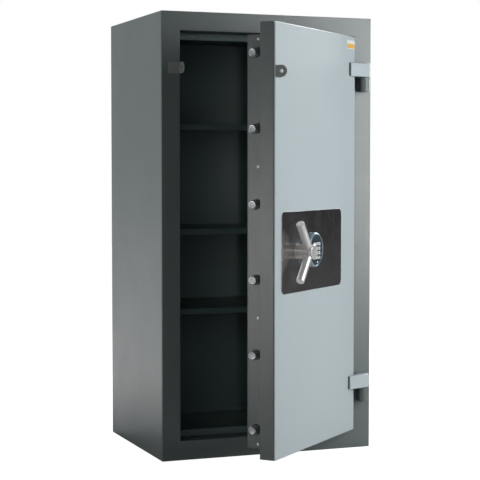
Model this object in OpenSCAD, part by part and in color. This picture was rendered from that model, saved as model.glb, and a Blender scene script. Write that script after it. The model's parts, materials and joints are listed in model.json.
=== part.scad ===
// Free-standing office safe with one door, a turn handle, a keypad lock and side and vertical bolts.
// Millimetres. Origin at the centre of the base's underside, +X right, +Y to the back, +Z up.

/* [Cabinet] */
// Overall width
body_w = 700; // [650:5:800]
// Overall depth
body_d = 545; // [500:5:650]
// Overall height
body_h = 1370; // [1330:5:1500]
// Width of the stiles at the sides of the door opening, which is also the wall thickness
stile_w = 59; // [55:1:70]
// Height of the rail above the door
rail_top = 58; // [54:1:70]
// Height of the rail below the door
rail_bottom = 60; // [56:1:70]
// Thickness of the outer steel plates
skin = 3; // [2:0.5:4]
// Thickness of the inner steel plates
liner = 2; // [1:0.5:3]
// Thickness of the door frame's steel
frame_t = 5; // [4:0.5:6]
// Depth of the door frame
frame_d = 110; // [108:1:120]
// How far the stop lips stand into the opening
lip_h = 24; // [18:1:26]

/* [Door] */
// How far the door stands open in the rest position
open_angle = 41.6; // [0:0.1:90]
// Thickness of the door slab
slab_t = 49; // [46:1:50]
// Thickness of the bolt housing behind the slab
housing_t = 55; // [52:1:56]
// Gap between the slab and the opening on the lock side
gap_lock = 5; // [4.5:0.5:6]
// Gap between the slab and the opening on the other sides
gap_side = 4; // [3:0.5:5]
// How far the bolt housing is set in from the slab's free edge
housing_inset = 34; // [32:1:38]
// Thickness of the door's front panel
panel_t = 5; // [4:1:6]

/* [Bolts] */
// Radius of the locking bolts
bolt_r = 13; // [10:0.5:13]
// Distance between neighbouring side bolts
bolt_pitch = 216; // [180:1:218]
// How far the bolts travel
throw = 22; // [16:1:22]
// How far the side bolts stand out of the housing when they are withdrawn
bolt_out = 26; // [20:1:27]

/* [Lock and handle] */
// Height of the handle, the keypad and the lock above the base
lock_z = 655; // [600:1:720]
// Sideways position of the handle's axis
hub_x = -148; // [-160:1:-140]
// Radius of the handle's hub
hub_r = 21.5; // [18:0.5:24]
// Height of the hub's front face above the door
hub_h = 60; // [50:1:70]
// Length of a spoke, from the hub's axis to its tip
spoke_l = 107; // [90:1:115]
// Radius of a spoke
spoke_r = 12; // [9:0.5:13]
// Angle of each spoke above and below the horizontal
spoke_angle = 52; // [45:1:65]
// Sideways position of the keypad's axis
keypad_x = -56; // [-60:1:-40]
// Radius of the keypad
keypad_r = 51; // [46:0.5:52]
// Height of the keypad's face above the door
keypad_h = 24; // [20:1:30]
// Handle travel in degrees
handle_turn = 60; // [40:1:60]

/* [Shelves] */
// Heights of the tops of the three shelves above the base
shelf_z = [454, 705, 1033];
// Height of a shelf's folded edge
shelf_t = 18; // [14:1:22]

/* [Hidden] */
$fn = 48;
e = 0.5;                                   // overshoot of a cutting tool
front = -body_d / 2;                       // y of the cabinet's front face
back = body_d / 2;
open_x = body_w / 2 - stile_w;             // half width of the door opening
open_top = body_h - rail_top;
inner_back = body_d - stile_w;             // depth of the inside's rear face
lip_d = slab_t + 5;                        // depth of the stop lips' front faces
lip_t = 10;
keeper_d = 25;                             // depth of the hollow behind the door frame's jambs

door_l = -open_x + gap_lock;               // free edge of the slab, door closed
door_r = open_x - gap_side;
door_b = rail_bottom + gap_side;
door_top = open_top - gap_side;
tray_t = 3;
house_l = door_l + housing_inset;
house_r = door_r - housing_inset;
house_b = door_b + lip_h;
house_top = door_top - lip_h - 8;
house_d = slab_t + housing_t;              // depth of the housing's rear face
house_t = 4;

hinge_x = 318.4;                           // hinge axis
hinge_y = -19;                             // in front of the cabinet's front face
barrel_r = 18;
knuckle_r = 15.5;
pin_r = 9;
running = 0.05;                            // radial clearance of a running fit
strap_z = [198, 1183];                   // undersides of the door's hinge straps
strap_h = 42;
knuckle_h = 45;
washer_t = 1.5;
strap_l = 80;                              // from the barrel's axis to the strap's end
strap_t = 8;                               // thickness of the strap's end

bolt_d = slab_t + 29;                      // depth of the side bolts' axes
bolt_z = [for (i = [-2.5:2.5]) body_h / 2 - 1 + i * bolt_pitch];
dog_z = [for (i = [-2:2:2]) body_h / 2 - 1 + i * bolt_pitch];
dog_r = 12;
dog_out = 10;                              // how far a dog enters the hinge-side jamb
bar_x = -200;                              // left face of the lock bar
bar_t = 8;
spigot_r = 6;
guide_x = -230;
rod_x = -90;                               // axis of the vertical bolts' rods
rod_d = 86;
rod_r = 7;
follower_z = 35;                           // followers above and below the handle's axis, at rest
follower_r = 4;
cam_d = 68;                                // depth of the cam plate's front face
cam_t = 8;
crank_r = throw;                           // the crank's throw over 60 degrees equals its radius
crank_pin_r = 5;
lug_x = -2;                                // the cam plate's lug that the lock's bolt blocks
lug_w = 8;
blocker_w = 12;
case_x = [-45, 25];
case_z = [lock_z - 135, lock_z - 45];
case_d = [55, 84];
blocker_x = lug_x - throw / 2;
spindle_r = 9.95;
bush_r = 14;
ear_hole = 5.5;
cable_r = 2.5;
cable_d = 60.5;
plate_t = 2.5;                             // lock plate
plate_x = [-250, 176];
plate_h = 236;
key_pitch = [17, 13.5];
key_size = [12.5, 9.5];
key_gap = 0.3;
key_face = keypad_h + 1.5;
key_columns = [-1, 0, 1];
key_rows = [1.5, 0.5, -0.5, -1.5];
ear_h = 34;                                // sealing lugs
cabinet_ear = [1199, 46];                  // height above the base, and reach, of the cabinet's ear
door_ear = [1168, 35];                     // the same of the door's ear
shelf_front = 118;                         // depth of the shelves' front edges
strip_t = 3;
strip_w = 25;
strip_d = [170, 440];
clip_w = 20;
anchor_x = 200;                            // half the anchor pattern
anchor_y = 150;
anchor_r = 9;
sleeve_r = 12;

// A box given by its lowest and highest corners, where y counts back from the cabinet's front face.
module block(low, high) {
    translate([low[0], front + low[1], low[2]]) cube(high - low);
}

// A cylinder along +Y that starts at the given depth.
module along_y(x, d, z, r, l) {
    translate([x, front + d, z]) rotate([-90, 0, 0]) cylinder(r = r, h = l);
}

// A cylinder along +X.
module along_x(x, d, z, r, l) {
    translate([x, front + d, z]) rotate([0, 90, 0]) cylinder(r = r, h = l);
}

// Turns a part that is drawn with the door closed to the door's rest position.
module on_door() {
    translate([hinge_x, front + hinge_y, 0]) rotate([0, 0, open_angle])
        translate([-hinge_x, -front - hinge_y, 0]) children();
}

// Both members of a left and right pair.
module both_sides() {
    children();
    mirror([1, 0, 0]) children();
}

// The four anchor positions.
module at_anchors() {
    for (x = [-anchor_x, anchor_x], y = [-anchor_y, anchor_y]) translate([x, y, -e]) children();
}

module outer_sides() {
    color("dimgray") both_sides()
        block([body_w / 2 - skin, frame_t, skin], [body_w / 2, body_d, body_h - skin]);
}

module outer_roof() {
    color("dimgray") block([-body_w / 2, frame_t, body_h - skin], [body_w / 2, body_d, body_h]);
}

module outer_base() {
    color("dimgray") difference() {
        block([-body_w / 2, frame_t, 0], [body_w / 2, body_d, skin]);
        at_anchors() cylinder(r = sleeve_r, h = skin + 2 * e);
    }
}

module outer_back() {
    color("dimgray") block([-body_w / 2 + skin, body_d - skin, skin],
        [body_w / 2 - skin, body_d, body_h - skin]);
}

module liner_sides() {
    color("darkslategray") both_sides()
        block([open_x, frame_d, rail_bottom], [open_x + liner, inner_back, open_top]);
}

module liner_roof() {
    color("darkslategray") block([-open_x - liner, frame_d, open_top],
        [open_x + liner, inner_back, open_top + liner]);
}

module liner_floor() {
    color("darkslategray") difference() {
        block([-open_x - liner, frame_d, rail_bottom - liner], [open_x + liner, inner_back, rail_bottom]);
        at_anchors() cylinder(r = sleeve_r, h = rail_bottom + 2 * e);
    }
}

module liner_back() {
    color("darkslategray") block([-open_x - liner, inner_back, rail_bottom - liner],
        [open_x + liner, inner_back + liner, open_top + liner]);
}

// Fire-resistant fill, poured between the outer plates, the liner and the door frame.
module wall_fill() {
    hollow_x = open_x + frame_t + keeper_d;
    color("lightgray") difference() {
        block([-body_w / 2 + skin, frame_t, skin], [body_w / 2 - skin, body_d - skin, body_h - skin]);
        block([-open_x - liner, frame_d, rail_bottom - liner],
            [open_x + liner, inner_back + liner, open_top + liner]);
        block([-hollow_x, 0, rail_bottom - frame_t], [hollow_x, frame_d, open_top + frame_t]);
        at_anchors() cylinder(r = sleeve_r, h = rail_bottom + 2 * e);
    }
}

// Stile with its jamb: a front plate and a jamb plate with holes that the bolts or dogs enter.
module frame_stile(side, heights, r) {
    difference() {
        union() {
            block([min(side * open_x, side * body_w / 2), 0, 0],
                [max(side * open_x, side * body_w / 2), frame_t, body_h]);
            block([min(side * open_x, side * (open_x + frame_t)), frame_t, rail_bottom - frame_t],
                [max(side * open_x, side * (open_x + frame_t)), frame_d, open_top + frame_t]);
        }
        for (z = heights)
            along_x(side * (open_x + frame_t / 2) - frame_t, bolt_d, z, r, 2 * frame_t);
    }
}

module frame_stile_lock() {
    color("dimgray") frame_stile(-1, bolt_z, bolt_r + 1.5);
}

module frame_stile_hinge() {
    color("gray") frame_stile(1, dog_z, dog_r + 4);
}

// Rail with its soffit or sill plate and the stop lip behind the door's edge.
module frame_rail_top() {
    color("dimgray") difference() {
        union() {
            block([-open_x, 0, open_top], [open_x, frame_t, body_h]);
            block([-open_x, frame_t, open_top], [open_x, frame_d, open_top + frame_t]);
            block([-open_x, lip_d, open_top - lip_h], [open_x, lip_d + lip_t, open_top]);
        }
        along_y(-237, lip_d - e, open_top - lip_h / 2, 4, lip_t + 2 * e);
    }
}

module frame_rail_bottom() {
    color("dimgray") {
        block([-open_x, 0, 0], [open_x, frame_t, rail_bottom]);
        block([-open_x, frame_t, rail_bottom - frame_t], [open_x, frame_d, rail_bottom]);
        block([-open_x, lip_d, rail_bottom], [open_x, lip_d + lip_t, rail_bottom + lip_h]);
    }
}

// Fixed halves of the hinges, each a barrel on a welded pad.
module hinge_knuckles() {
    color("darkslategray") for (z = strap_z) {
        low = z - washer_t - knuckle_h;
        difference() {
            union() {
                translate([hinge_x, front + hinge_y, low]) cylinder(r = knuckle_r, h = knuckle_h);
                block([hinge_x - 12, hinge_y, low], [hinge_x + 12, 0, low + knuckle_h]);
            }
            translate([hinge_x, front + hinge_y, low + 6]) cylinder(r = pin_r, h = knuckle_h);
        }
    }
}

module hinge_pins() {
    color("silver") for (z = strap_z)
        translate([hinge_x, front + hinge_y, z - washer_t - knuckle_h + 6])
            cylinder(r = pin_r, h = knuckle_h - 6 + washer_t + strap_h - 8);
}

module hinge_washers() {
    color("goldenrod") for (z = strap_z) translate([hinge_x, front + hinge_y, z - washer_t])
        difference() {
            cylinder(r = knuckle_r - 1, h = washer_t - 0.1);
            translate([0, 0, -e]) cylinder(r = pin_r, h = washer_t + 2 * e);
        }
}

// A shelf pressed from sheet, with its four edges folded down.
module shelf(z) {
    side = open_x - strip_t - 1.5;
    color("darkslategray") difference() {
        block([-side, shelf_front, z - shelf_t], [side, inner_back - 4, z]);
        block([-side + liner, shelf_front + liner, z - shelf_t - e],
            [side - liner, inner_back - 4 - liner, z - liner]);
    }
}

module shelf_top() { shelf(shelf_z[2]); }
module shelf_middle() { shelf(shelf_z[1]); }
module shelf_bottom() { shelf(shelf_z[0]); }

// Slotted uprights on the side walls.
module shelf_strips() {
    slot_pitch = 50;
    color("gray") both_sides() for (d = strip_d) difference() {
        block([open_x - strip_t, d - strip_w / 2, 100], [open_x, d + strip_w / 2, 1280]);
        for (z = [125:slot_pitch:1260]) block([open_x - strip_t - e, d - 4, z], [open_x + e, d + 4, z + 20]);
    }
}

// Clips that hold the shelves, each an angle with its foot against the upright.
module shelf_clips() {
    color("silver") both_sides() for (z = shelf_z, d = strip_d) {
        top = z - shelf_t;
        block([open_x - strip_t - clip_w, d - 8, top - 2], [open_x - strip_t, d + 8, top]);
        block([open_x - strip_t - 2, d - 8, top - 22], [open_x - strip_t, d + 8, top - 2]);
    }
}

module anchor_sleeves() {
    color("silver") at_anchors() translate([0, 0, e]) difference() {
        cylinder(r = sleeve_r, h = rail_bottom);
        translate([0, 0, -e]) cylinder(r = anchor_r, h = rail_bottom + 2 * e);
    }
}

// Angle with a round-ended ear that stands square to the front, pierced for a seal wire.
module seal_lug(x, foot, ear) {
    ear_t = 3;
    r = ear_h / 2;
    z = ear[0];
    crown = r - ear[1];
    difference() {
        union() {
            block([min(x, x + foot), -ear_t, z - r], [max(x, x + foot), 0, z + r]);
            block([x, crown, z - r], [x + ear_t, 0, z + r]);
            along_x(x, crown, z, r, ear_t);
        }
        along_x(x - e, crown, z, ear_hole, ear_t + 2 * e);
    }
}

module seal_lug_cabinet() {
    color("gray") seal_lug(-open_x - 3, -36, cabinet_ear);
}

module seal_lug_door() {
    color("gray") on_door() seal_lug(door_l, 34, door_ear);
}

// Holes through the door for the handle's bush and the keypad's cable.
module door_holes(from, to) {
    along_y(hub_x, from, lock_z, bush_r, to - from);
    along_y(keypad_x, from, lock_z, 6, to - from);
}

module door_panel() {
    color("lightsteelblue") on_door() difference() {
        block([door_l, 0, door_b], [door_r, panel_t, door_top]);
        door_holes(-e, panel_t + e);
    }
}

module door_tray() {
    color("dimgray") on_door() difference() {
        block([door_l, panel_t, door_b], [door_r, slab_t, door_top]);
        block([door_l + tray_t, panel_t - e, door_b + tray_t],
            [door_r - tray_t, slab_t - tray_t, door_top - tray_t]);
        door_holes(panel_t, slab_t + e);
    }
}

module door_fill() {
    color("lightgray") on_door() difference() {
        block([door_l + tray_t, panel_t, door_b + tray_t],
            [door_r - tray_t, slab_t - tray_t, door_top - tray_t]);
        door_holes(panel_t - e, slab_t);
    }
}

// Expanding seal round the ledge behind the slab's edge.
module fire_seal() {
    seal_w = 12;
    color("black") on_door() difference() {
        block([door_l + 8, slab_t, door_b + 6], [door_r - 8, slab_t + 2.5, door_top - 6]);
        block([door_l + 8 + seal_w, slab_t - e, door_b + 6 + seal_w],
            [door_r - 8 - seal_w, slab_t + 3, door_top - 6 - seal_w]);
    }
}

module hard_plate() {
    color("slategray") on_door() difference() {
        block([hub_x - 60, slab_t, lock_z - 140], [keypad_x + 90, slab_t + 6, lock_z + 90]);
        door_holes(slab_t - e, slab_t + 6 + e);
    }
}

// The four walls of the box that holds the bolt work.
module bolt_housing() {
    color("dimgray") on_door() difference() {
        block([house_l, slab_t, house_b], [house_r, house_d, house_top]);
        block([house_l + house_t, slab_t - e, house_b + house_t],
            [house_r - house_t, house_d + e, house_top - house_t]);
        for (z = bolt_z) along_x(house_l - e, bolt_d, z, bolt_r + 1.5, house_t + 2 * e);
        for (z = dog_z) along_x(house_r - house_t - e, bolt_d, z, dog_r, house_t + 2 * e);
        translate([rod_x, front + rod_d, house_b - e]) cylinder(r = bolt_r + 1, h = house_t + 2 * e);
        translate([rod_x, front + rod_d, house_top - house_t - e])
            cylinder(r = bolt_r + 1, h = house_t + 2 * e);
    }
}

module housing_cover() {
    color("dimgray") on_door()
        block([house_l, house_d, house_b], [house_r, house_d + liner, house_top]);
}

// Screws round the rear cover, and four in the housing's free side.
module cover_screws() {
    head_r = 5;
    head_t = 1.6;
    color("silver") on_door() {
        for (x = [house_l + 12, house_r - 12], z = [house_b + 14:(house_top - house_b - 28) / 6:house_top - 13])
            along_y(x, house_d + liner, z, head_r, head_t);
        for (z = [house_b + 12, house_b + 378, house_top - 376, house_top - 12])
            along_x(house_l - head_t, slab_t + 22, z, head_r, head_t);
    }
}

// Straps on the door's face, each ending in a barrel that turns on the hinge pin.
module hinge_straps() {
    reach = norm([strap_l, -hinge_y - strap_t]);
    tilt = asin(barrel_r / reach) + atan((-hinge_y - strap_t) / strap_l);
    touch = [hinge_x - barrel_r * sin(tilt), hinge_y - barrel_r * cos(tilt)];
    clear = 1.2;
    color("lightsteelblue") on_door() for (z = strap_z) difference() {
        translate([0, front, z]) union() {
            linear_extrude(strap_h) polygon([[hinge_x - strap_l, 0], [hinge_x - strap_l, -strap_t], touch,
                [hinge_x, hinge_y], [hinge_x, -clear], [door_r - 2, -clear], [door_r - 4, 0]]);
            translate([hinge_x, hinge_y, 0]) cylinder(r = barrel_r, h = strap_h);
        }
        translate([hinge_x, front + hinge_y, z - e]) cylinder(r = pin_r + running, h = strap_h - 6 + e);
    }
}

module fixed_dogs() {
    color("silver") on_door() for (z = dog_z)
        along_x(house_r - house_t - 12, bolt_d, z, dog_r, open_x + dog_out - house_r + house_t + 12);
}

// Guide plate for the side bolts and guide blocks for the vertical rods.
module bolt_guides() {
    color("slategray") on_door() {
        difference() {
            block([guide_x, slab_t, house_b + 20], [guide_x + 6, house_d - 4, house_top - 20]);
            for (z = bolt_z) along_x(guide_x - e, bolt_d, z, bolt_r + running, 6 + 2 * e);
        }
        for (z = [house_b + 70, lock_z - 200, lock_z + 200, house_top - 90]) difference() {
            block([rod_x - 18, slab_t, z], [rod_x + 18, rod_d + 14, z + 20]);
            translate([rod_x, front + rod_d, z - e]) cylinder(r = rod_r + running, h = 20 + 2 * e);
        }
    }
}

// Plate on the door's face under the handle and the keypad.
module lock_plate() {
    r = 18;
    low = lock_z - 2 - plate_h / 2;
    high = low + plate_h;
    color("lightgray") on_door() difference() {
        union() {
            block([plate_x[0] + r, -plate_t, low], [plate_x[1] - r, 0, high]);
            block([plate_x[0], -plate_t, low + r], [plate_x[1], 0, high - r]);
            for (x = [plate_x[0] + r, plate_x[1] - r], z = [low + r, high - r]) along_y(x, -plate_t, z, r, plate_t);
        }
        along_y(hub_x, -plate_t - e, lock_z, bush_r, plate_t + 2 * e);
        along_y(keypad_x, -plate_t - e, lock_z, 6, plate_t + 2 * e);
    }
}

// Puts a child at each place of the keypad's grid, in its own column and row.
module key_place(column, row) {
    translate([keypad_x + column * key_pitch[0], front, lock_z + row * key_pitch[1] - 3]) children();
}

module keypad_body() {
    pocket = 6;
    color("silver") on_door() difference() {
        translate([keypad_x, front - plate_t, lock_z]) rotate([90, 0, 0]) rotate_extrude()
            polygon([[0, 0], [keypad_r, 0], [keypad_r, keypad_h - plate_t - 4],
                [keypad_r - 4, keypad_h - plate_t], [0, keypad_h - plate_t]]);
        for (column = key_columns, row = key_rows)
            key_place(column, row)
                translate([-key_size[0] / 2 - key_gap, -keypad_h - e, -key_size[1] / 2 - key_gap])
                    cube([key_size[0] + 2 * key_gap, pocket + e, key_size[1] + 2 * key_gap]);
        along_y(keypad_x, -plate_t - 8, lock_z, cable_r, 8 + e);
    }
}

// One key, sunk in its pocket and standing a little out of the face.
module key(column, row) {
    color("gainsboro") on_door() key_place(column, row)
        translate([-key_size[0] / 2, -key_face, -key_size[1] / 2]) cube([key_size[0], 5.5, key_size[1]]);
}

// Lock body with a slot that its blocking bolt slides in.
module lock_case() {
    slack = 0.3;
    color("gray") on_door() difference() {
        block([case_x[0], case_d[0], case_z[0]], [case_x[1], case_d[1], case_z[1]]);
        block([blocker_x - blocker_w / 2 - slack, 66 - slack, case_z[1] - 50],
            [blocker_x + blocker_w / 2 + slack, 78 + slack, case_z[1] + e]);
    }
}

module lock_blocker() {
    color("goldenrod") on_door()
        block([blocker_x - blocker_w / 2, 66, case_z[1] - 45], [blocker_x + blocker_w / 2, 78, case_z[1]]);
}

// Cable from the keypad through the door to the lock body.
module lock_cable() {
    entry = [-35, case_z[1]];
    run = [entry[0] - keypad_x, entry[1] - lock_z];
    color("black") on_door() {
        along_y(keypad_x, -plate_t - 8, lock_z, cable_r, cable_d + plate_t + 8 + cable_r);
        translate([keypad_x, front + cable_d, lock_z]) rotate([0, atan2(run[0], run[1]), 0])
            cylinder(r = cable_r - 0.2, h = norm(run) - 1.5);
    }
}

module spindle_bush() {
    color("goldenrod") on_door() difference() {
        along_y(hub_x, -plate_t, lock_z, bush_r, slab_t + 7.5 + plate_t);
        along_y(hub_x, -plate_t - e, lock_z, spindle_r + running, slab_t + 8.5 + plate_t);
    }
}

module handle_hub() {
    color("silver") on_door() difference() {
        translate([hub_x, front - plate_t - 0.4, lock_z]) rotate([90, 0, 0]) rotate_extrude()
            polygon([[0, 0], [hub_r, 0], [hub_r, hub_h - 5.5], [hub_r - 2.5, hub_h - 3], [0, hub_h - 3]]);
        along_y(hub_x, -hub_h + 20, lock_z, spindle_r, hub_h);
    }
}

// Two bars that point towards the free edge, one up and one down.
module handle_spokes() {
    chamfer = 2.5;
    root = 20.5;
    spoke_d = 43;                          // height of the spokes' axes above the door
    color("silver") on_door() translate([hub_x, front - spoke_d, lock_z]) difference() {
        for (angle = [-spoke_angle, spoke_angle]) rotate([0, -90 + angle, 0]) rotate_extrude()
            polygon([[0, 0], [spoke_r, 0], [spoke_r, spoke_l - chamfer],
                [spoke_r - chamfer, spoke_l], [0, spoke_l]]);
        translate([0, 30, 0]) rotate([90, 0, 0]) cylinder(r = hub_r, h = 60);
    }
}

// Spindle through the door, with the crank disc and its pin behind.
module spindle_crank() {
    pin_angle = handle_turn / 2;
    color("gray") on_door() {
        along_y(hub_x, -hub_h + 20, lock_z, spindle_r, hub_h - 20 + 60);
        along_y(hub_x, 58, lock_z, 32, 8);
        along_y(hub_x + crank_r * sin(pin_angle), 66, lock_z + crank_r * cos(pin_angle), crank_pin_r, 11.5);
    }
}

// A slot along a direction: round-ended, cut through the cam plate.
module cam_slot(x, z, run, r) {
    angle = atan2(run[1], run[0]);
    translate([x, front + cam_d - e, z]) rotate([0, -angle, 0]) {
        translate([0, 0, -r]) cube([norm(run), cam_t + 2 * e, 2 * r]);
        for (s = [0, norm(run)]) translate([s, 0, 0]) rotate([-90, 0, 0]) cylinder(r = r, h = cam_t + 2 * e);
    }
}

// Bar that carries the side bolts, with a cam plate welded to it: the crank's pin moves the
// plate sideways, and the plate's slanted slots move the vertical rods.
module lock_bar() {
    pin_x = hub_x + crank_r * sin(handle_turn / 2);
    slot_low = crank_r * cos(handle_turn / 2);
    color("silver") on_door() difference() {
        union() {
            block([bar_x, 62, bolt_z[0] - 22], [bar_x + bar_t, 94, bolt_z[5] + 22]);
            block([bar_x + bar_t, cam_d, lock_z - 75], [-60, cam_d + cam_t, lock_z + 75]);
            block([-60, cam_d, lock_z - 20], [lug_x + lug_w / 2, cam_d + cam_t, lock_z]);
            block([lug_x - lug_w / 2, cam_d, lock_z - 38], [lug_x + lug_w / 2, cam_d + cam_t, lock_z - 20]);
        }
        for (z = bolt_z) along_x(bar_x - e, bolt_d, z, spigot_r, bar_t + 2 * e);
        cam_slot(pin_x, lock_z + slot_low - 1, [0, crank_r - slot_low + 2], crank_pin_r + 0.6);
        cam_slot(rod_x, lock_z + follower_z, [throw, throw], follower_r + 0.5);
        cam_slot(rod_x, lock_z - follower_z, [throw, -throw], follower_r + 0.5);
    }
}

// Side bolts, each with a spigot riveted in the lock bar.
module side_bolts() {
    tip = house_l - bolt_out;
    color("silver") on_door() for (z = bolt_z) {
        translate([tip, front + bolt_d, z]) rotate([0, 90, 0]) rotate_extrude()
            polygon([[0, 0], [bolt_r - 2, 0], [bolt_r, 2], [bolt_r, bar_x - tip], [0, bar_x - tip]]);
        along_x(bar_x, bolt_d, z, spigot_r, bar_t + 3);
    }
}

// A vertical bolt with its rod and the follower pin that runs in the cam plate's slot.
module vertical_bolt(direction) {
    start = lock_z + direction * (follower_z - 8);
    tip = direction > 0 ? house_top - 1 : house_b + 1;
    head_l = 45;
    low = min(start, tip);
    high = max(start, tip);
    translate([rod_x, front + rod_d, low]) cylinder(r = rod_r, h = high - low);
    translate([rod_x, front + rod_d, direction > 0 ? high - head_l : low]) cylinder(r = bolt_r, h = head_l);
    along_y(rod_x, cam_d - 0.5, lock_z + direction * follower_z, follower_r, rod_d - cam_d);
}

module top_bolt() {
    color("silver") on_door() vertical_bolt(1);
}

module bottom_bolt() {
    color("silver") on_door() vertical_bolt(-1);
}

outer_sides();
outer_roof();
outer_base();
outer_back();
liner_sides();
liner_roof();
liner_floor();
liner_back();
wall_fill();
frame_stile_lock();
frame_stile_hinge();
frame_rail_top();
frame_rail_bottom();
hinge_knuckles();
hinge_pins();
hinge_washers();
shelf_top();
shelf_middle();
shelf_bottom();
shelf_strips();
shelf_clips();
anchor_sleeves();
seal_lug_cabinet();
door_panel();
door_tray();
door_fill();
fire_seal();
hard_plate();
bolt_housing();
housing_cover();
cover_screws();
hinge_straps();
fixed_dogs();
bolt_guides();
lock_plate();
keypad_body();
lock_case();
lock_cable();
seal_lug_door();
spindle_bush();
handle_hub();
handle_spokes();
spindle_crank();
lock_bar();
side_bolts();
top_bolt();
bottom_bolt();
lock_blocker();
key(-1, 1.5);  // key_1
key(0, 1.5);  // key_2
key(1, 1.5);  // key_3
key(-1, 0.5);  // key_4
key(0, 0.5);  // key_5
key(1, 0.5);  // key_6
key(-1, -0.5);  // key_7
key(0, -0.5);  // key_8
key(1, -0.5);  // key_9
key(-1, -1.5);  // key_star
key(0, -1.5);  // key_0
key(1, -1.5);  // key_hash
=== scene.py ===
"""Free-standing safe: the visible pieces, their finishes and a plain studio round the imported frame."""

import json
import math

import bmesh
import bpy
from mathutils import Matrix, Vector


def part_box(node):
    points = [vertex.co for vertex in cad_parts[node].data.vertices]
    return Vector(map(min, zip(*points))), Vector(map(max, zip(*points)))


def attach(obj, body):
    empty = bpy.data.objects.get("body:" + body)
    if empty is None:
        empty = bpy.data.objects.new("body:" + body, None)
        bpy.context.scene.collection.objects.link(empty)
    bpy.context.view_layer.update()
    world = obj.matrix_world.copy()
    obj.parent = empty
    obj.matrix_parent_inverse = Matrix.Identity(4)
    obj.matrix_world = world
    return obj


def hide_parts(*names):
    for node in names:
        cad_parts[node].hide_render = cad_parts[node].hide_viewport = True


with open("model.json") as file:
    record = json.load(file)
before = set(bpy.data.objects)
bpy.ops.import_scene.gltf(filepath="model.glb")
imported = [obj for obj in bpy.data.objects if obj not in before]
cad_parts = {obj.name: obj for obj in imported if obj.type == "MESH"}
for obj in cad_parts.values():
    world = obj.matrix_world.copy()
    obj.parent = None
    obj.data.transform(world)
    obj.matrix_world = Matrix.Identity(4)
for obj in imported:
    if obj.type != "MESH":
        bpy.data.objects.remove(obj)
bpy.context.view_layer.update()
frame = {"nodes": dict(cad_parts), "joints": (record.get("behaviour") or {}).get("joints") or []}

bl_info = {
    "name": "Free-standing safe",
    "version": (1, 0, 0),
    "blender": (4, 5, 0),
    "location": "3D View > Sidebar > Safe",
    "description": "Builds the looks of a free-standing safe round its frame",
    "category": "Object",
}

MM = 0.001
JOINTS = {joint["name"]: joint for joint in frame["joints"]}

# The door parts are drawn as if the door were shut, then turned to where the door stands at rest.
HINGE = Vector(JOINTS["door_hinge"]["pos_m"]) * Vector((1, 1, 0))
OPEN_ANGLE = -math.radians(JOINTS["door_hinge"]["range_deg"][0])
AJAR = Matrix.Translation(HINGE) @ Matrix.Rotation(OPEN_ANGLE, 4, "Z") @ Matrix.Translation(-HINGE)
SHUT = AJAR.inverted()
STILL = Matrix.Identity(4)

X, Y, Z = Vector((1, 0, 0)), Vector((0, 1, 0)), Vector((0, 0, 1))
OUT = -Y                                    # out of the door's or the cabinet's front
# Local X to the rear, local Y up and local Z to the right, for the walls that the bolts pass through.
YZ_WALL = Matrix(((0, 0, 1, 0), (1, 0, 0, 0), (0, 1, 0, 0), (0, 0, 0, 1)))

SIDE_BOLTS, DOGS = 6, 3                     # bolts on the lock side, fixed dogs on the hinge side
BOLT_SLACK, DOG_SLACK = 1.5 * MM, 4 * MM    # between a bolt or a dog and its hole in the frame
LIP_HEIGHT = 24 * MM                        # of the stop lips above and below the door
SHELVES = ("shelf_top", "shelf_middle", "shelf_bottom")
STRIP_THICKNESS = 3 * MM                    # of the slotted uprights
SMALL_SIDES = 32                            # sides of the small turned parts


def linear(red, green, blue):
    """A display colour from 0 to 255 as the linear colour that shaders use."""
    def channel(value):
        value /= 255
        return value / 12.92 if value <= 0.04045 else ((value + 0.055) / 1.055) ** 2.4
    return tuple(channel(value) for value in (red, green, blue))


# ---------------------------------------------------------------- settings

class SAFE_PG_sizes(bpy.types.PropertyGroup):
    """Small sizes of the visible pieces"""
    edge_radius: bpy.props.FloatProperty(
        name="Edge radius", description="Rounding of the casing's and the frame's edges",
        default=1.6 * MM, min=0.2 * MM, max=3 * MM, unit="LENGTH")
    fold_radius: bpy.props.FloatProperty(
        name="Fold radius", description="Outer radius of the folds in the sheet parts",
        default=2.4 * MM, min=0.5 * MM, max=5 * MM, unit="LENGTH")
    chamfer: bpy.props.FloatProperty(
        name="Chamfer", description="Chamfer at the ends of the bolts and the handle's bars",
        default=2.4 * MM, min=0.5 * MM, max=5 * MM, unit="LENGTH")
    badge_width: bpy.props.FloatProperty(
        name="Badge width", description="Width of the blank badge on the door",
        default=60 * MM, min=20 * MM, max=90 * MM, unit="LENGTH")
    badge_height: bpy.props.FloatProperty(
        name="Badge height", description="Height of the blank badge on the door",
        default=27 * MM, min=10 * MM, max=50 * MM, unit="LENGTH")
    round_sides: bpy.props.IntProperty(
        name="Round sides", description="Number of sides of the turned parts",
        default=72, min=16, max=128)


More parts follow.
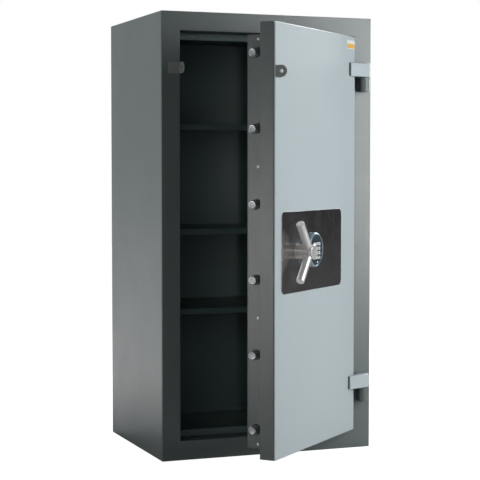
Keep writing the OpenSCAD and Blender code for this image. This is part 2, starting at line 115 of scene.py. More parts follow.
class SAFE_PG_colours(bpy.types.PropertyGroup):
    """Colours of the finishes"""
    door: bpy.props.FloatVectorProperty(
        name="Door", description="Paint of the door's front and its hinge straps",
        default=linear(185, 196, 200), min=0, max=1, subtype="COLOR")
    casing: bpy.props.FloatVectorProperty(
        name="Casing", description="Paint of the cabinet, its frame and the door's edges",
        default=linear(77, 89, 88), min=0, max=1, subtype="COLOR")
    inside: bpy.props.FloatVectorProperty(
        name="Inside", description="Paint of the inside and the shelves",
        default=linear(62, 89, 87), min=0, max=1, subtype="COLOR")
    lug: bpy.props.FloatVectorProperty(
        name="Lug", description="Paint of the sealing lugs",
        default=linear(118, 122, 121), min=0, max=1, subtype="COLOR")
    steel: bpy.props.FloatVectorProperty(
        name="Steel", description="Plated steel of the handle and the bolts",
        default=linear(244, 241, 238), min=0, max=1, subtype="COLOR")
    plate: bpy.props.FloatVectorProperty(
        name="Lock plate", description="Brushed steel of the lock plate",
        default=linear(192, 187, 187), min=0, max=1, subtype="COLOR")
    key: bpy.props.FloatVectorProperty(
        name="Key", description="Moulded keys of the keypad",
        default=linear(214, 219, 221), min=0, max=1, subtype="COLOR")


def sizes():
    """The sizes that the panel shows."""
    return bpy.context.scene.safe_sizes


def colours():
    """The colours that the panel shows."""
    return bpy.context.scene.safe_colours


# ---------------------------------------------------------------- meshes

def shut_box(node):
    """Lowest and highest corner of a door part, as if the door were shut."""
    points = [SHUT @ vertex.co for vertex in frame["nodes"][node].data.vertices]
    return tuple(Vector([pick(p[i] for p in points) for i in range(3)]) for pick in (min, max))


def facing(direction, origin):
    """Puts local Z along a direction, at an origin."""
    return Matrix.Translation(origin) @ direction.to_track_quat("Z", "Y").to_matrix().to_4x4()


def facing_front(y):
    """Local X to the right, local Y up and local Z to the front, from a given depth."""
    return Matrix.Translation((0, y, 0)) @ Matrix.Rotation(math.pi / 2, 4, "X")


def add_box(bm, low, high):
    """Adds a plain box; the piece's bevel rounds its edges."""
    corners = [bm.verts.new((x, y, z)) for x in (low[0], high[0]) for y in (low[1], high[1])
               for z in (low[2], high[2])]
    for loop in ((0, 1, 3, 2), (4, 6, 7, 5), (0, 4, 5, 1), (2, 3, 7, 6), (0, 2, 6, 4), (1, 5, 7, 3)):
        bm.faces.new([corners[i] for i in loop])


def add_shell(bm, low, high, wall):
    """Adds a box that is open to the front, with walls of one thickness."""
    inner_low = low + Vector((wall, 0, wall))
    inner_high = high - Vector((wall, wall, wall))
    shells = []
    for a, b in ((low, high), (inner_low, inner_high)):
        shells.append([bm.verts.new(p) for p in (
            (a[0], a[1], a[2]), (b[0], a[1], a[2]), (b[0], a[1], b[2]), (a[0], a[1], b[2]),
            (a[0], b[1], a[2]), (b[0], b[1], a[2]), (b[0], b[1], b[2]), (a[0], b[1], b[2]))])
    outer, inner = shells
    for loop in ((4, 5, 6, 7), (0, 1, 5, 4), (1, 2, 6, 5), (2, 3, 7, 6), (3, 0, 4, 7)):
        for shell in shells:
            bm.faces.new([shell[i] for i in loop])
    for i in range(4):
        j = (i + 1) % 4
        bm.faces.new((outer[i], outer[j], inner[j], inner[i]))


def add_lathe(bm, profile, matrix=STILL, sides=None, material=0):
    """Adds a turned part. The profile runs from one end of the axis to the other as (radius, height)."""
    sides = sides or sizes().round_sides
    rings = []
    for radius, height in profile:
        turns = range(sides if radius > 0 else 1)
        angles = [math.tau * i / sides for i in turns]
        rings.append([bm.verts.new(matrix @ Vector((radius * math.cos(a), radius * math.sin(a), height)))
                      for a in angles])
    for low, high in zip(rings, rings[1:]):
        for i in range(sides):
            j = i + 1
            loop = [low[i % len(low)], low[j % len(low)], high[j % len(high)], high[i % len(high)]]
            bm.faces.new(list(dict.fromkeys(loop))).material_index = material


def add_ring_plate(bm, outer, inner, thickness, matrix):
    """Adds a flat plate with a hole: two loops with the same number of points, in local X and Y."""
    layers = [[[bm.verts.new(matrix @ Vector((x, y, z))) for x, y in loop] for loop in (outer, inner)]
              for z in (0, thickness)]
    count = len(outer)
    for i in range(count):
        j = (i + 1) % count
        (low_out, low_in), (high_out, high_in) = layers
        for loop in ((low_out[i], low_out[j], low_in[j], low_in[i]),
                     (high_out[i], high_in[i], high_in[j], high_out[j]),
                     (low_out[i], high_out[i], high_out[j], low_out[j]),
                     (low_in[i], low_in[j], high_in[j], high_in[i])):
            bm.faces.new(loop)


def add_prism(bm, outline, height, matrix, material=0):
    """Adds an extruded outline, in local X and Y."""
    low = [bm.verts.new(matrix @ Vector((x, y, 0))) for x, y in outline]
    high = [bm.verts.new(matrix @ Vector((x, y, height))) for x, y in outline]
    bm.faces.new(low[::-1]).material_index = material
    bm.faces.new(high).material_index = material
    for i, (a, b) in enumerate(zip(low, high)):
        j = (i + 1) % len(low)
        bm.faces.new((a, low[j], high[j], b)).material_index = material


def add_wall(bm, size, holes, thickness, matrix, sides=48):
    """Adds a rectangular wall with round holes, given as (x, y, radius), in local X and Y."""
    width, height = size
    sheet = bmesh.new()
    loops = [[(0, 0), (width, 0), (width, height), (0, height)]]
    for x, y, radius in holes:
        loops.append(arc((x, y), radius, 0, math.tau, sides)[:-1])
    edges = []
    for loop in loops:
        verts = [sheet.verts.new((x, y, 0)) for x, y in loop]
        edges += [sheet.edges.new((a, b)) for a, b in zip(verts, verts[1:] + verts[:1])]
    bmesh.ops.triangle_fill(sheet, use_beauty=True, use_dissolve=False, edges=edges)
    made = bmesh.ops.extrude_face_region(sheet, geom=list(sheet.faces))
    raised = [item for item in made["geom"] if isinstance(item, bmesh.types.BMVert)]
    bmesh.ops.translate(sheet, vec=(0, 0, thickness), verts=raised)
    bmesh.ops.recalc_face_normals(sheet, faces=sheet.faces)
    part = bpy.data.meshes.new("wall")
    sheet.to_mesh(part)
    sheet.free()
    part.transform(matrix)
    bm.from_mesh(part)
    bpy.data.meshes.remove(part)


def arc(centre, radius, start, end, steps):
    """Points on an arc, both ends included."""
    return [(centre[0] + radius * math.cos(start + (end - start) * i / steps),
             centre[1] + radius * math.sin(start + (end - start) * i / steps)) for i in range(steps + 1)]


def rounded_rectangle(low, high, radius, steps=8):
    """Outline of a rectangle with round corners."""
    (left, bottom), (right, top) = low, high
    points = []
    for corner, (x, y) in enumerate(((right, top), (left, top), (left, bottom), (right, bottom))):
        centre = (x - radius if corner in (0, 3) else x + radius, y - radius if corner < 2 else y + radius)
        points += arc(centre, radius, corner * math.pi / 2, (corner + 1) * math.pi / 2, steps)
    return points


def join(bm):
    """Merges the points of faces that meet."""
    bmesh.ops.remove_doubles(bm, verts=bm.verts, dist=0.001 * MM)


def rectangle(low, high):
    """Outline of a plain rectangle."""
    return [(low[0], low[1]), (high[0], low[1]), (high[0], high[1]), (low[0], high[1])]


def row(low, high, count):
    """Heights and radius of a row of round bars, from the corners of the box round them all."""
    radius = (high.y - low.y) / 2
    step = (high.z - low.z - 2 * radius) / (count - 1)
    return [low.z + radius + i * step for i in range(count)], radius


def piece(name, bm, body, materials, replaces=(), place=STILL, rounding=0, segments=3, sharp=30):
    """Makes a finished piece: its mesh in place, its rounding, its body and what it stands for."""
    bmesh.ops.recalc_face_normals(bm, faces=bm.faces)
    mesh = bpy.data.meshes.new(name)
    bm.to_mesh(mesh)
    bm.free()
    return mesh_piece(name, mesh, body, materials, replaces, place, rounding, segments, sharp)


def mesh_piece(name, mesh, body, materials, replaces=(), place=STILL,
               rounding=0, segments=3, sharp=30):
    """The same for a mesh that is ready."""
    mesh.transform(place)
    mesh.polygons.foreach_set("use_smooth", [True] * len(mesh.polygons))
    if not rounding:
        mesh.set_sharp_from_angle(angle=math.radians(sharp))
    if not mesh.materials:
        for material in materials:
            mesh.materials.append(material)
    obj = bpy.data.objects.new(name, mesh)
    bpy.context.scene.collection.objects.link(obj)
    if rounding:
        bevel = obj.modifiers.new("Rounding", "BEVEL")
        bevel.width = rounding
        bevel.segments = segments
        bevel.limit_method = "ANGLE"
        bevel.angle_limit = math.radians(sharp)
        bevel.harden_normals = True
    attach(obj, body)
    if replaces:
        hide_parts(*replaces)
    return obj


def finish_node(node, material):
    """Gives a CAD part that stays its material."""
    mesh = frame["nodes"][node].data
    mesh.materials.clear()
    mesh.materials.append(material)


# ---------------------------------------------------------------- repeats, made with Geometry Nodes

def link(tree, source, target):
    """Joins two sockets of a node tree."""
    tree.links.new(source, target)


def repeating_tree(name, inputs, add_points):
    """Makes a node tree once that sets a part on points; add_points links the points in."""
    tree = bpy.data.node_groups.get(name)
    if tree:
        return tree
    tree = bpy.data.node_groups.new(name, "GeometryNodeTree")
    for label, kind in (*inputs, ("Part", "NodeSocketObject"), ("Finish", "NodeSocketMaterial")):
        tree.interface.new_socket(label, in_out="INPUT", socket_type=kind)
    tree.interface.new_socket("Geometry", in_out="OUTPUT", socket_type="NodeSocketGeometry")
    start, end = tree.nodes.new("NodeGroupInput"), tree.nodes.new("NodeGroupOutput")
    part = tree.nodes.new("GeometryNodeObjectInfo")
    place = tree.nodes.new("GeometryNodeInstanceOnPoints")
    real = tree.nodes.new("GeometryNodeRealizeInstances")
    finish = tree.nodes.new("GeometryNodeSetMaterial")
    add_points(tree, start, place)
    link(tree, start.outputs["Part"], part.inputs["Object"])
    link(tree, part.outputs["Geometry"], place.inputs["Instance"])
    link(tree, place.outputs["Instances"], real.inputs["Geometry"])
    link(tree, real.outputs["Geometry"], finish.inputs["Geometry"])
    link(tree, start.outputs["Finish"], finish.inputs["Material"])
    link(tree, finish.outputs["Geometry"], end.inputs["Geometry"])
    return tree


def scatter_tree():
    """Node tree that sets a part on every point, turned by the point's own angles."""
    def add_points(tree, start, place):
        turn = tree.nodes.new("GeometryNodeInputNamedAttribute")
        turn.data_type = "FLOAT_VECTOR"
        turn.inputs["Name"].default_value = "turn"
        link(tree, start.outputs["Points"], place.inputs["Points"])
        link(tree, turn.outputs["Attribute"], place.inputs["Rotation"])
        link(tree, start.outputs["Scale"], place.inputs["Scale"])

    inputs = (("Points", "NodeSocketGeometry"), ("Scale", "NodeSocketFloat"))
    return repeating_tree("Set on points", inputs, add_points)


def ladder_tree():
    """Node tree that repeats a part along a line."""
    def add_points(tree, start, place):
        line = tree.nodes.new("GeometryNodeMeshLine")
        for label, socket in (("Count", "Count"), ("Start", "Start Location"), ("Step", "Offset")):
            link(tree, start.outputs[label], line.inputs[socket])
        link(tree, line.outputs["Mesh"], place.inputs["Points"])

    inputs = (("Geometry", "NodeSocketGeometry"), ("Count", "NodeSocketInt"),
              ("Start", "NodeSocketVector"), ("Step", "NodeSocketVector"))
    return repeating_tree("Repeat along a line", inputs, add_points)


def grown(carrier, tree, values):
    """Runs a node tree on a carrier mesh and returns the plain mesh that it makes."""
    host = bpy.data.objects.new("carrier", carrier)
    bpy.context.scene.collection.objects.link(host)
    modifier = host.modifiers.new("Repeat", "NODES")
    modifier.node_group = tree
    sockets = {item.name: item.identifier for item in tree.interface.items_tree if item.in_out == "INPUT"}
    for name, value in values.items():
        modifier[sockets[name]] = value
    bpy.context.view_layer.update()
    graph = bpy.context.evaluated_depsgraph_get()
    mesh = bpy.data.meshes.new_from_object(host.evaluated_get(graph), depsgraph=graph)
    bpy.data.objects.remove(host)
    mesh.materials.clear()
    mesh.materials.append(values["Finish"])
    return mesh


def temporary(bm, rounding=0):
    """A part that only the node trees use."""
    bmesh.ops.recalc_face_normals(bm, faces=bm.faces)
    if rounding:
        sharp = [e for e in bm.edges if e.is_manifold and e.calc_face_angle() > math.radians(30)]
        bmesh.ops.bevel(bm, geom=sharp, offset=rounding, segments=2, profile=0.5, affect="EDGES")
    mesh = bpy.data.meshes.new("repeated part")
    bm.to_mesh(mesh)
    bm.free()
    obj = bpy.data.objects.new("repeated part", mesh)
    bpy.context.scene.collection.objects.link(obj)
    return obj


def scattered(part, spots, finish):
    """The part at each (place, direction, spin), as one mesh."""
    carrier = bpy.data.meshes.new("spots")
    carrier.from_pydata([tuple(place) for place, _, _ in spots], [], [])
    turns = carrier.attributes.new("turn", "FLOAT_VECTOR", "POINT")
    for i, (_, direction, spin) in enumerate(spots):
        turn = direction.to_track_quat("Z", "Y").to_matrix() @ Matrix.Rotation(spin, 3, "Z")
        turns.data[i].vector = turn.to_euler()
    mesh = grown(carrier, scatter_tree(), {"Part": part, "Scale": 1.0, "Finish": finish})
    bpy.data.objects.remove(part)
    return mesh


def screw_head(radius, height):
    """A domed screw head with a crossed recess, its seat on local Z 0."""
    bm = bmesh.new()
    arm, width, depth = 0.62 * radius, 0.13 * radius, 0.45 * height
    cross = []
    for quarter in range(4):
        turn = quarter * math.pi / 2
        for x, y in ((arm, -width), (arm, width), (width, width)):
            cross.append((x * math.cos(turn) - y * math.sin(turn), x * math.sin(turn) + y * math.cos(turn)))
    count = len(cross)
    angles = [math.atan2(y, x) for x, y in cross]

    def ring(scale, z):
        return [bm.verts.new((scale * radius * math.cos(a), scale * radius * math.sin(a), z)) for a in angles]

    rings = [ring(scale, share * height) for scale, share in ((1, 0), (1, 0.45), (0.93, 0.78), (0.78, 1))]
    rings.append([bm.verts.new((x, y, height)) for x, y in cross])
    rings.append([bm.verts.new((0.8 * x, 0.8 * y, height - depth)) for x, y in cross])
    for low, high in zip(rings, rings[1:]):
        for i in range(count):
            j = (i + 1) % count
            bm.faces.new((low[i], low[j], high[j], high[i]))
    bm.faces.new(rings[-1])
    bm.faces.new(rings[0][::-1])
    return temporary(bm)


# ---------------------------------------------------------------- shader groups

def shader_group(name, inputs, outputs, build):
    """Makes a shared shader group once: build gets the tree and its input and output nodes."""
    group = bpy.data.node_groups.get(name)
    if group:
        return group
    group = bpy.data.node_groups.new(name, "ShaderNodeTree")
    for label, kind, default in inputs:
        socket = group.interface.new_socket(label, in_out="INPUT", socket_type=kind)
        socket.default_value = default
    for label, kind in outputs:
        group.interface.new_socket(label, in_out="OUTPUT", socket_type=kind)
    build(group, group.nodes.new("NodeGroupInput"), group.nodes.new("NodeGroupOutput"))
    return group


FLOAT, VECTOR = "NodeSocketFloat", "NodeSocketVector"


def maths(tree, operation, first, second=None, clamp=False):
    """A Math node whose inputs are sockets or numbers."""
    node = tree.nodes.new("ShaderNodeMath")
    node.operation = operation
    node.use_clamp = clamp
    for socket, value in zip(node.inputs, (first, second)):
        if value is None:
            continue
        if isinstance(value, (int, float)):
            socket.default_value = value
        else:
            link(tree, value, socket)
    return node.outputs[0]


def spread(tree, value, from_low, from_high, to_low, to_high):
    """A Map Range node; every argument is a socket or a number."""
    node = tree.nodes.new("ShaderNodeMapRange")
    for socket, given in zip(node.inputs, (value, from_low, from_high, to_low, to_high)):
        if isinstance(given, (int, float)):
            socket.default_value = given
        else:
            link(tree, given, socket)
    return node.outputs[0]


def noise(tree, vector, scale, detail=3.0, roughness=0.5):
    """A Noise Texture node; its scale is a socket or a number."""
    node = tree.nodes.new("ShaderNodeTexNoise")
    link(tree, vector, node.inputs["Vector"])
    node.inputs["Detail"].default_value = detail
    node.inputs["Roughness"].default_value = roughness
    if isinstance(scale, (int, float)):
        node.inputs["Scale"].default_value = scale
    else:
        link(tree, scale, node.inputs["Scale"])
    return node.outputs["Fac"]


def build_powder_coat(tree, start, end):
    """Fine orange-peel of a powder coat, and the slow drift of its shade."""
    place = tree.nodes.new("ShaderNodeTexCoord").outputs["Object"]
    grain = start.outputs["Grain scale"]
    coarse_scale, speck_scale = 0.23, 1.9       # against the grain's own scale
    fine_share = 0.45
    fine = noise(tree, place, grain, 2.0, 0.6)
    coarse = noise(tree, place, maths(tree, "MULTIPLY", grain, coarse_scale), 2.0, 0.5)
    height = maths(tree, "ADD", maths(tree, "MULTIPLY", fine, fine_share),
                   maths(tree, "MULTIPLY", coarse, 1 - fine_share))
    link(tree, height, end.inputs["Height"])
    specks = noise(tree, place, maths(tree, "MULTIPLY", grain, speck_scale), 1.0)
    link(tree, spread(tree, specks, 0.35, 0.65, 0.0, 1.0), end.inputs["Speckle"])
    link(tree, noise(tree, place, start.outputs["Cloud scale"], 3.0), end.inputs["Cloud"])


def build_edge_wear(tree, start, end):
    """Mask of rubbed edges: where the rounded normal leaves the surface's own, broken up by noise."""
    rounded = tree.nodes.new("ShaderNodeBevel")
    rounded.samples = 4
    link(tree, start.outputs["Reach"], rounded.inputs["Radius"])
    geometry = tree.nodes.new("ShaderNodeNewGeometry")
    dot = tree.nodes.new("ShaderNodeVectorMath")
    dot.operation = "DOT_PRODUCT"
    link(tree, rounded.outputs["Normal"], dot.inputs[0])
    link(tree, geometry.outputs["Normal"], dot.inputs[1])
    edge = spread(tree, dot.outputs["Value"], 0.995, 0.80, 0.0, 1.0)
    place = tree.nodes.new("ShaderNodeTexCoord").outputs["Object"]
    patches = spread(tree, noise(tree, place, start.outputs["Patch scale"], 5.0, 0.65), 0.42, 0.62, 0.0, 1.0)
    link(tree, maths(tree, "MULTIPLY", maths(tree, "MULTIPLY", edge, patches), start.outputs["Amount"], True),
         end.inputs["Mask"])


def build_brushing(tree, start, end):
    """Long fine scratches in one direction, and broad soft streaks."""
    coordinate = tree.nodes.new("ShaderNodeTexCoord")
    turn = tree.nodes.new("ShaderNodeMapping")
    link(tree, coordinate.outputs["Object"], turn.inputs["Vector"])
    link(tree, start.outputs["Turn"], turn.inputs["Rotation"])
    stretch = tree.nodes.new("ShaderNodeVectorMath")
    stretch.operation = "MULTIPLY"
    link(tree, turn.outputs["Vector"], stretch.inputs[0])
    link(tree, start.outputs["Stretch"], stretch.inputs[1])
    streak_scale = 0.13                         # against the scratches' own scale
    fine = noise(tree, stretch.outputs["Vector"], start.outputs["Scale"], 4.0, 0.7)
    broad = noise(tree, stretch.outputs["Vector"],
                  maths(tree, "MULTIPLY", start.outputs["Scale"], streak_scale), 3.0)
    link(tree, fine, end.inputs["Scratches"])
    link(tree, broad, end.inputs["Streaks"])


def build_handling(tree, start, end):
    """Finger marks and dust, as patches that change the roughness."""
    place = tree.nodes.new("ShaderNodeTexCoord").outputs["Object"]
    cloud = noise(tree, place, start.outputs["Scale"], 5.0, 0.6)
    link(tree, spread(tree, cloud, 0.38, 0.68, start.outputs["Low"], start.outputs["High"]),
         end.inputs["Roughness"])


def build_rings(tree, start, end):
    """Fine rings round a centre, fading out at a distance from it."""
    gap = tree.nodes.new("ShaderNodeVectorMath")
    gap.operation = "DISTANCE"
    link(tree, tree.nodes.new("ShaderNodeTexCoord").outputs["Object"], gap.inputs[0])
    link(tree, start.outputs["Centre"], gap.inputs[1])
    radius = gap.outputs["Value"]
    along = tree.nodes.new("ShaderNodeCombineXYZ")
    link(tree, radius, along.inputs[0])
    grooves = noise(tree, along.outputs["Vector"], start.outputs["Scale"], 2.0, 0.6)
    inside = maths(tree, "MULTIPLY", start.outputs["Reach"], 0.6)
    fade = spread(tree, radius, inside, start.outputs["Reach"], 1.0, 0.0)
    link(tree, maths(tree, "MULTIPLY", grooves, fade), end.inputs["Height"])


def rings_group():
    inputs = [("Centre", VECTOR, (0, 0, 0)), ("Scale", FLOAT, 1500), ("Reach", FLOAT, 0.1)]
    return shader_group("Turned rings", inputs, [("Height", FLOAT)], build_rings)


def powder_coat_group():
    inputs = [("Grain scale", FLOAT, 900), ("Cloud scale", FLOAT, 3)]
    outputs = [("Height", FLOAT), ("Speckle", FLOAT), ("Cloud", FLOAT)]
    return shader_group("Powder coat", inputs, outputs, build_powder_coat)


def edge_wear_group():
    inputs = [("Reach", FLOAT, 0.0015), ("Patch scale", FLOAT, 60), ("Amount", FLOAT, 1)]
    return shader_group("Edge wear", inputs, [("Mask", FLOAT)], build_edge_wear)


def brushing_group():
    inputs = [("Scale", FLOAT, 300), ("Stretch", VECTOR, (1, 1, 1)), ("Turn", VECTOR, (0, 0, 0))]
    return shader_group("Brushing", inputs, [("Scratches", FLOAT), ("Streaks", FLOAT)], build_brushing)


def handling_group():
    inputs = [("Scale", FLOAT, 12), ("Low", FLOAT, 0.3), ("High", FLOAT, 0.5)]
    return shader_group("Handling marks", inputs, [("Roughness", FLOAT)], build_handling)


# ---------------------------------------------------------------- materials

def new_material(name):
    """An empty material with its shader: returns the material, its tree and the shader."""
    material = bpy.data.materials.new(name)
    material.use_nodes = True
    tree = material.node_tree
    return material, tree, tree.nodes["Principled BSDF"]


def use_group(tree, group, values):
    """Places a shader group with its own values."""
    node = tree.nodes.new("ShaderNodeGroup")
    node.node_tree = group
    for label, value in values.items():
        node.inputs[label].default_value = value
    return node


def mixed(tree, factor, first, second):
    """A colour mix; each of the three is a socket or a value."""
    node = tree.nodes.new("ShaderNodeMix")
    node.data_type = "RGBA"
    slots = (node.inputs[0], node.inputs[6], node.inputs[7])
    for socket, value in zip(slots, (factor, first, second)):
        if isinstance(value, bpy.types.NodeSocket):
            link(tree, value, socket)
        elif isinstance(value, (int, float)):
            socket.default_value = value
        else:
            socket.default_value = (*value[:3], 1)
    return node.outputs[2]


def bumped(tree, height, strength, distance, shader):
    """Turns a height into the shader's normal."""
    node = tree.nodes.new("ShaderNodeBump")
    node.inputs["Strength"].default_value = strength
    node.inputs["Distance"].default_value = distance
    link(tree, height, node.inputs["Height"])
    link(tree, node.outputs["Normal"], shader.inputs["Normal"])


def cached(maker):
    """Each material is made once, under its maker's name."""
    def get():
        name = maker.__name__.replace("_", " ")
        return bpy.data.materials.get(name) or maker(name)
    return get


def toned(colour, factor, lift=0.0):
    """A lighter or darker shade of a colour."""
    return tuple(min(1, factor * channel + lift) for channel in colour)


def paint(name, colour, grain, roughness, wear, sheen=0.5, depth=0.00008):
    """Powder-coated steel: fine grain, soft clouds, speckle, rubbed edges and handling marks."""
    material, tree, shader = new_material(name)
    coat = use_group(tree, powder_coat_group(), {"Grain scale": grain, "Cloud scale": 2.6})
    worn = use_group(tree, edge_wear_group(), {"Reach": 0.0014, "Patch scale": 55, "Amount": wear})
    marks = use_group(tree, handling_group(),
                      {"Scale": 7, "Low": roughness - 0.015, "High": roughness + 0.03})
    speck_colour, speck_amount, polish = (0.9, 0.92, 0.92), 0.10, 0.12
    shade = mixed(tree, coat.outputs["Cloud"], toned(colour, 0.94), toned(colour, 1.04, 0.002))
    specks = maths(tree, "MULTIPLY", coat.outputs["Speckle"], speck_amount)
    shade = mixed(tree, specks, shade, speck_colour)
    shade = mixed(tree, worn.outputs["Mask"], shade, toned(colour, 1.6, 0.10))
    link(tree, shade, shader.inputs["Base Color"])
    smoother = maths(tree, "MULTIPLY", worn.outputs["Mask"], polish)
    link(tree, maths(tree, "SUBTRACT", marks.outputs["Roughness"], smoother), shader.inputs["Roughness"])
    shader.inputs["Specular IOR Level"].default_value = sheen
    bumped(tree, coat.outputs["Height"], 0.55, depth, shader)
    return material


RING_SCALE, RING_REACH, RING_DEPTH = 1400, 0.135, 0.0008       # turned rings round the handle


def metal(name, colour, roughness, scale, stretch, turn=(0, 0, 0), depth=0.00004, shine=1.0, rings=None):
    """Bare or plated metal, brushed in one direction; rings gives a centre to turn it round."""
    material, tree, shader = new_material(name)
    brushed = use_group(tree, brushing_group(), {"Scale": scale, "Stretch": stretch, "Turn": turn})
    marks = use_group(tree, handling_group(), {"Scale": 18, "Low": -0.03, "High": 0.06})
    shade = mixed(tree, brushed.outputs["Streaks"], toned(colour, 0.93), toned(colour, 1.04))
    link(tree, shade, shader.inputs["Base Color"])
    grain = spread(tree, brushed.outputs["Scratches"], 0.3, 0.7, roughness - 0.04, roughness + 0.05)
    link(tree, maths(tree, "ADD", grain, marks.outputs["Roughness"]), shader.inputs["Roughness"])
    shader.inputs["Metallic"].default_value = shine
    height = brushed.outputs["Scratches"]
    if rings:
        values = {"Centre": rings, "Scale": RING_SCALE, "Reach": RING_REACH}
        turned = use_group(tree, rings_group(), values)
        height = maths(tree, "MULTIPLY", height, depth / RING_DEPTH)
        height = maths(tree, "ADD", height, turned.outputs["Height"])
        depth = RING_DEPTH
    bumped(tree, height, 0.4, depth, shader)
    return material


def moulded(name, colour, roughness, grain=1400, coat=0.0):
    """Moulded plastic or rubber with a fine matt grain."""
    material, tree, shader = new_material(name)
    skin = use_group(tree, powder_coat_group(), {"Grain scale": grain, "Cloud scale": 30})
    marks = use_group(tree, handling_group(), {"Scale": 40, "Low": roughness - 0.05, "High": roughness + 0.1})
    shade = mixed(tree, skin.outputs["Cloud"], toned(colour, 0.88), toned(colour, 1.08))
    link(tree, shade, shader.inputs["Base Color"])
    link(tree, marks.outputs["Roughness"], shader.inputs["Roughness"])
    shader.inputs["Coat Weight"].default_value = coat
    bumped(tree, skin.outputs["Height"], 0.3, 0.00003, shader)
    return material


ALONG_DOOR = (0.0, 0.0, -OPEN_ANGLE)        # turns a pattern so that its X runs along the open door


@cached
def door_paint(name):
    return paint(name, colours().door, grain=900, roughness=0.42, wear=0.25)


@cached
def casing_paint(name):
    return paint(name, colours().casing, grain=620, roughness=0.33, wear=0.35, sheen=0.9, depth=0.0009)


@cached
def inside_paint(name):
    return paint(name, colours().inside, grain=900, roughness=0.36, wear=0.25)


@cached
def lug_paint(name):
    return paint(name, colours().lug, grain=1100, roughness=0.45, wear=0.6)


@cached
def brushed_plate(name):
    low, high = shut_box("handle_hub")
    hub = AJAR @ Vector(((low.x + high.x) / 2, high.y, (low.z + high.z) / 2))
    return metal(name, colours().plate, roughness=0.17, scale=420, stretch=(1, 1, 0.012), turn=ALONG_DOOR,
                 depth=0.000004, rings=hub)


@cached
def satin_steel(name):
    return metal(name, colours().steel, roughness=0.36, scale=500, stretch=(1, 1, 0.25), depth=0.00001,
                 shine=0.7)


@cached
def turned_steel(name):
    return metal(name, linear(214, 216, 217), roughness=0.22, scale=900, stretch=(1, 0.02, 0.02),
                 turn=ALONG_DOOR, depth=0.00001)


@cached
def faced_steel(name):
    return metal(name, linear(196, 200, 202), roughness=0.45, scale=700, stretch=(1, 1, 1), depth=0.00002,
                 shine=0.6)


@cached
def keypad_metal(name):
    return metal(name, linear(172, 190, 201), roughness=0.25, scale=500, stretch=(1, 1, 0.3), depth=0.00001,
                 shine=0.55)


@cached
def zinc_plate(name):
    return metal(name, linear(196, 198, 192), roughness=0.34, scale=150, stretch=(1, 1, 1))


@cached
def dark_steel(name):
    return metal(name, linear(92, 95, 99), roughness=0.4, scale=260, stretch=(1, 1, 0.2))


@cached
def bearing_bronze(name):
    return metal(name, linear(190, 152, 92), roughness=0.34, scale=300, stretch=(1, 1, 1))


@cached
def cast_alloy(name):
    return metal(name, linear(160, 163, 166), roughness=0.5, scale=220, stretch=(1, 1, 1), depth=0.0002)


@cached
def key_plastic(name):
    return moulded(name, colours().key, roughness=0.34)


@cached
def keypad_field(name):
    return moulded(name, linear(38, 41, 44), roughness=0.3, coat=0.3)


@cached
def keypad_face(name):
    return moulded(name, linear(52, 66, 76), roughness=0.3, coat=0.3)


@cached
def key_print(name):
    return moulded(name, linear(28, 30, 33), roughness=0.5)


@cached
def black_rubber(name):
    return moulded(name, linear(26, 26, 27), roughness=0.7, grain=700)


@cached
def cable_jacket(name):
    return moulded(name, linear(30, 30, 32), roughness=0.45, grain=1800)


@cached
def badge_enamel(name):
    return moulded(name, linear(246, 246, 243), roughness=0.3, coat=0.3)


@cached
def amber_enamel(name):
    return moulded(name, linear(250, 196, 100), roughness=0.3, coat=0.3)


@cached
def fire_fill(name):
    """Cast fire-resistant fill: pale, gritty and pitted."""
    material, tree, shader = new_material(name)
    grit = use_group(tree, powder_coat_group(), {"Grain scale": 160, "Cloud scale": 9})
    shade = mixed(tree, grit.outputs["Cloud"], linear(168, 165, 158), linear(202, 199, 191))
    shade = mixed(tree, maths(tree, "MULTIPLY", grit.outputs["Speckle"], 0.4), shade, linear(120, 118, 114))
    link(tree, shade, shader.inputs["Base Color"])
    shader.inputs["Roughness"].default_value = 0.92
    bumped(tree, grit.outputs["Height"], 0.8, 0.0006, shader)
    return material


@cached
def lamp_lens(name):
    """Lens of the keypad's lamp, with a faint glow."""
    material, tree, shader = new_material(name)
    skin = use_group(tree, powder_coat_group(), {"Grain scale": 2000, "Cloud scale": 300})
    link(tree, mixed(tree, skin.outputs["Cloud"], linear(214, 226, 230), linear(250, 252, 252)),
         shader.inputs["Base Color"])
    shader.inputs["Roughness"].default_value = 0.12
    shader.inputs["Emission Color"].default_value = (*linear(235, 245, 250), 1)
    shader.inputs["Emission Strength"].default_value = 0.7
    bumped(tree, skin.outputs["Height"], 0.1, 0.00002, shader)
    return material


# ---------------------------------------------------------------- the pieces

class PieceOperator:
    """What the operators of the pieces share"""
    bl_options = {"REGISTER", "UNDO"}


class SAFE_OT_casing(PieceOperator, bpy.types.Operator):
    """Outer casing: a shell folded and welded from plate, open to the front"""
    bl_idname = "safe.casing"
    bl_label = "Casing"

    def execute(self, context):
        roof_low, roof_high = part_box("outer_roof")
        base_low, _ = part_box("outer_base")
        bm = bmesh.new()
        add_shell(bm, Vector(base_low), Vector(roof_high), roof_high.z - roof_low.z)
        piece("casing", bm, "cabinet", [casing_paint()],
              ["outer_sides", "outer_roof", "outer_base", "outer_back"],
              rounding=sizes().fold_radius, segments=4)
        finish_node("wall_fill", fire_fill())
        finish_node("anchor_sleeves", zinc_plate())
        return {"FINISHED"}


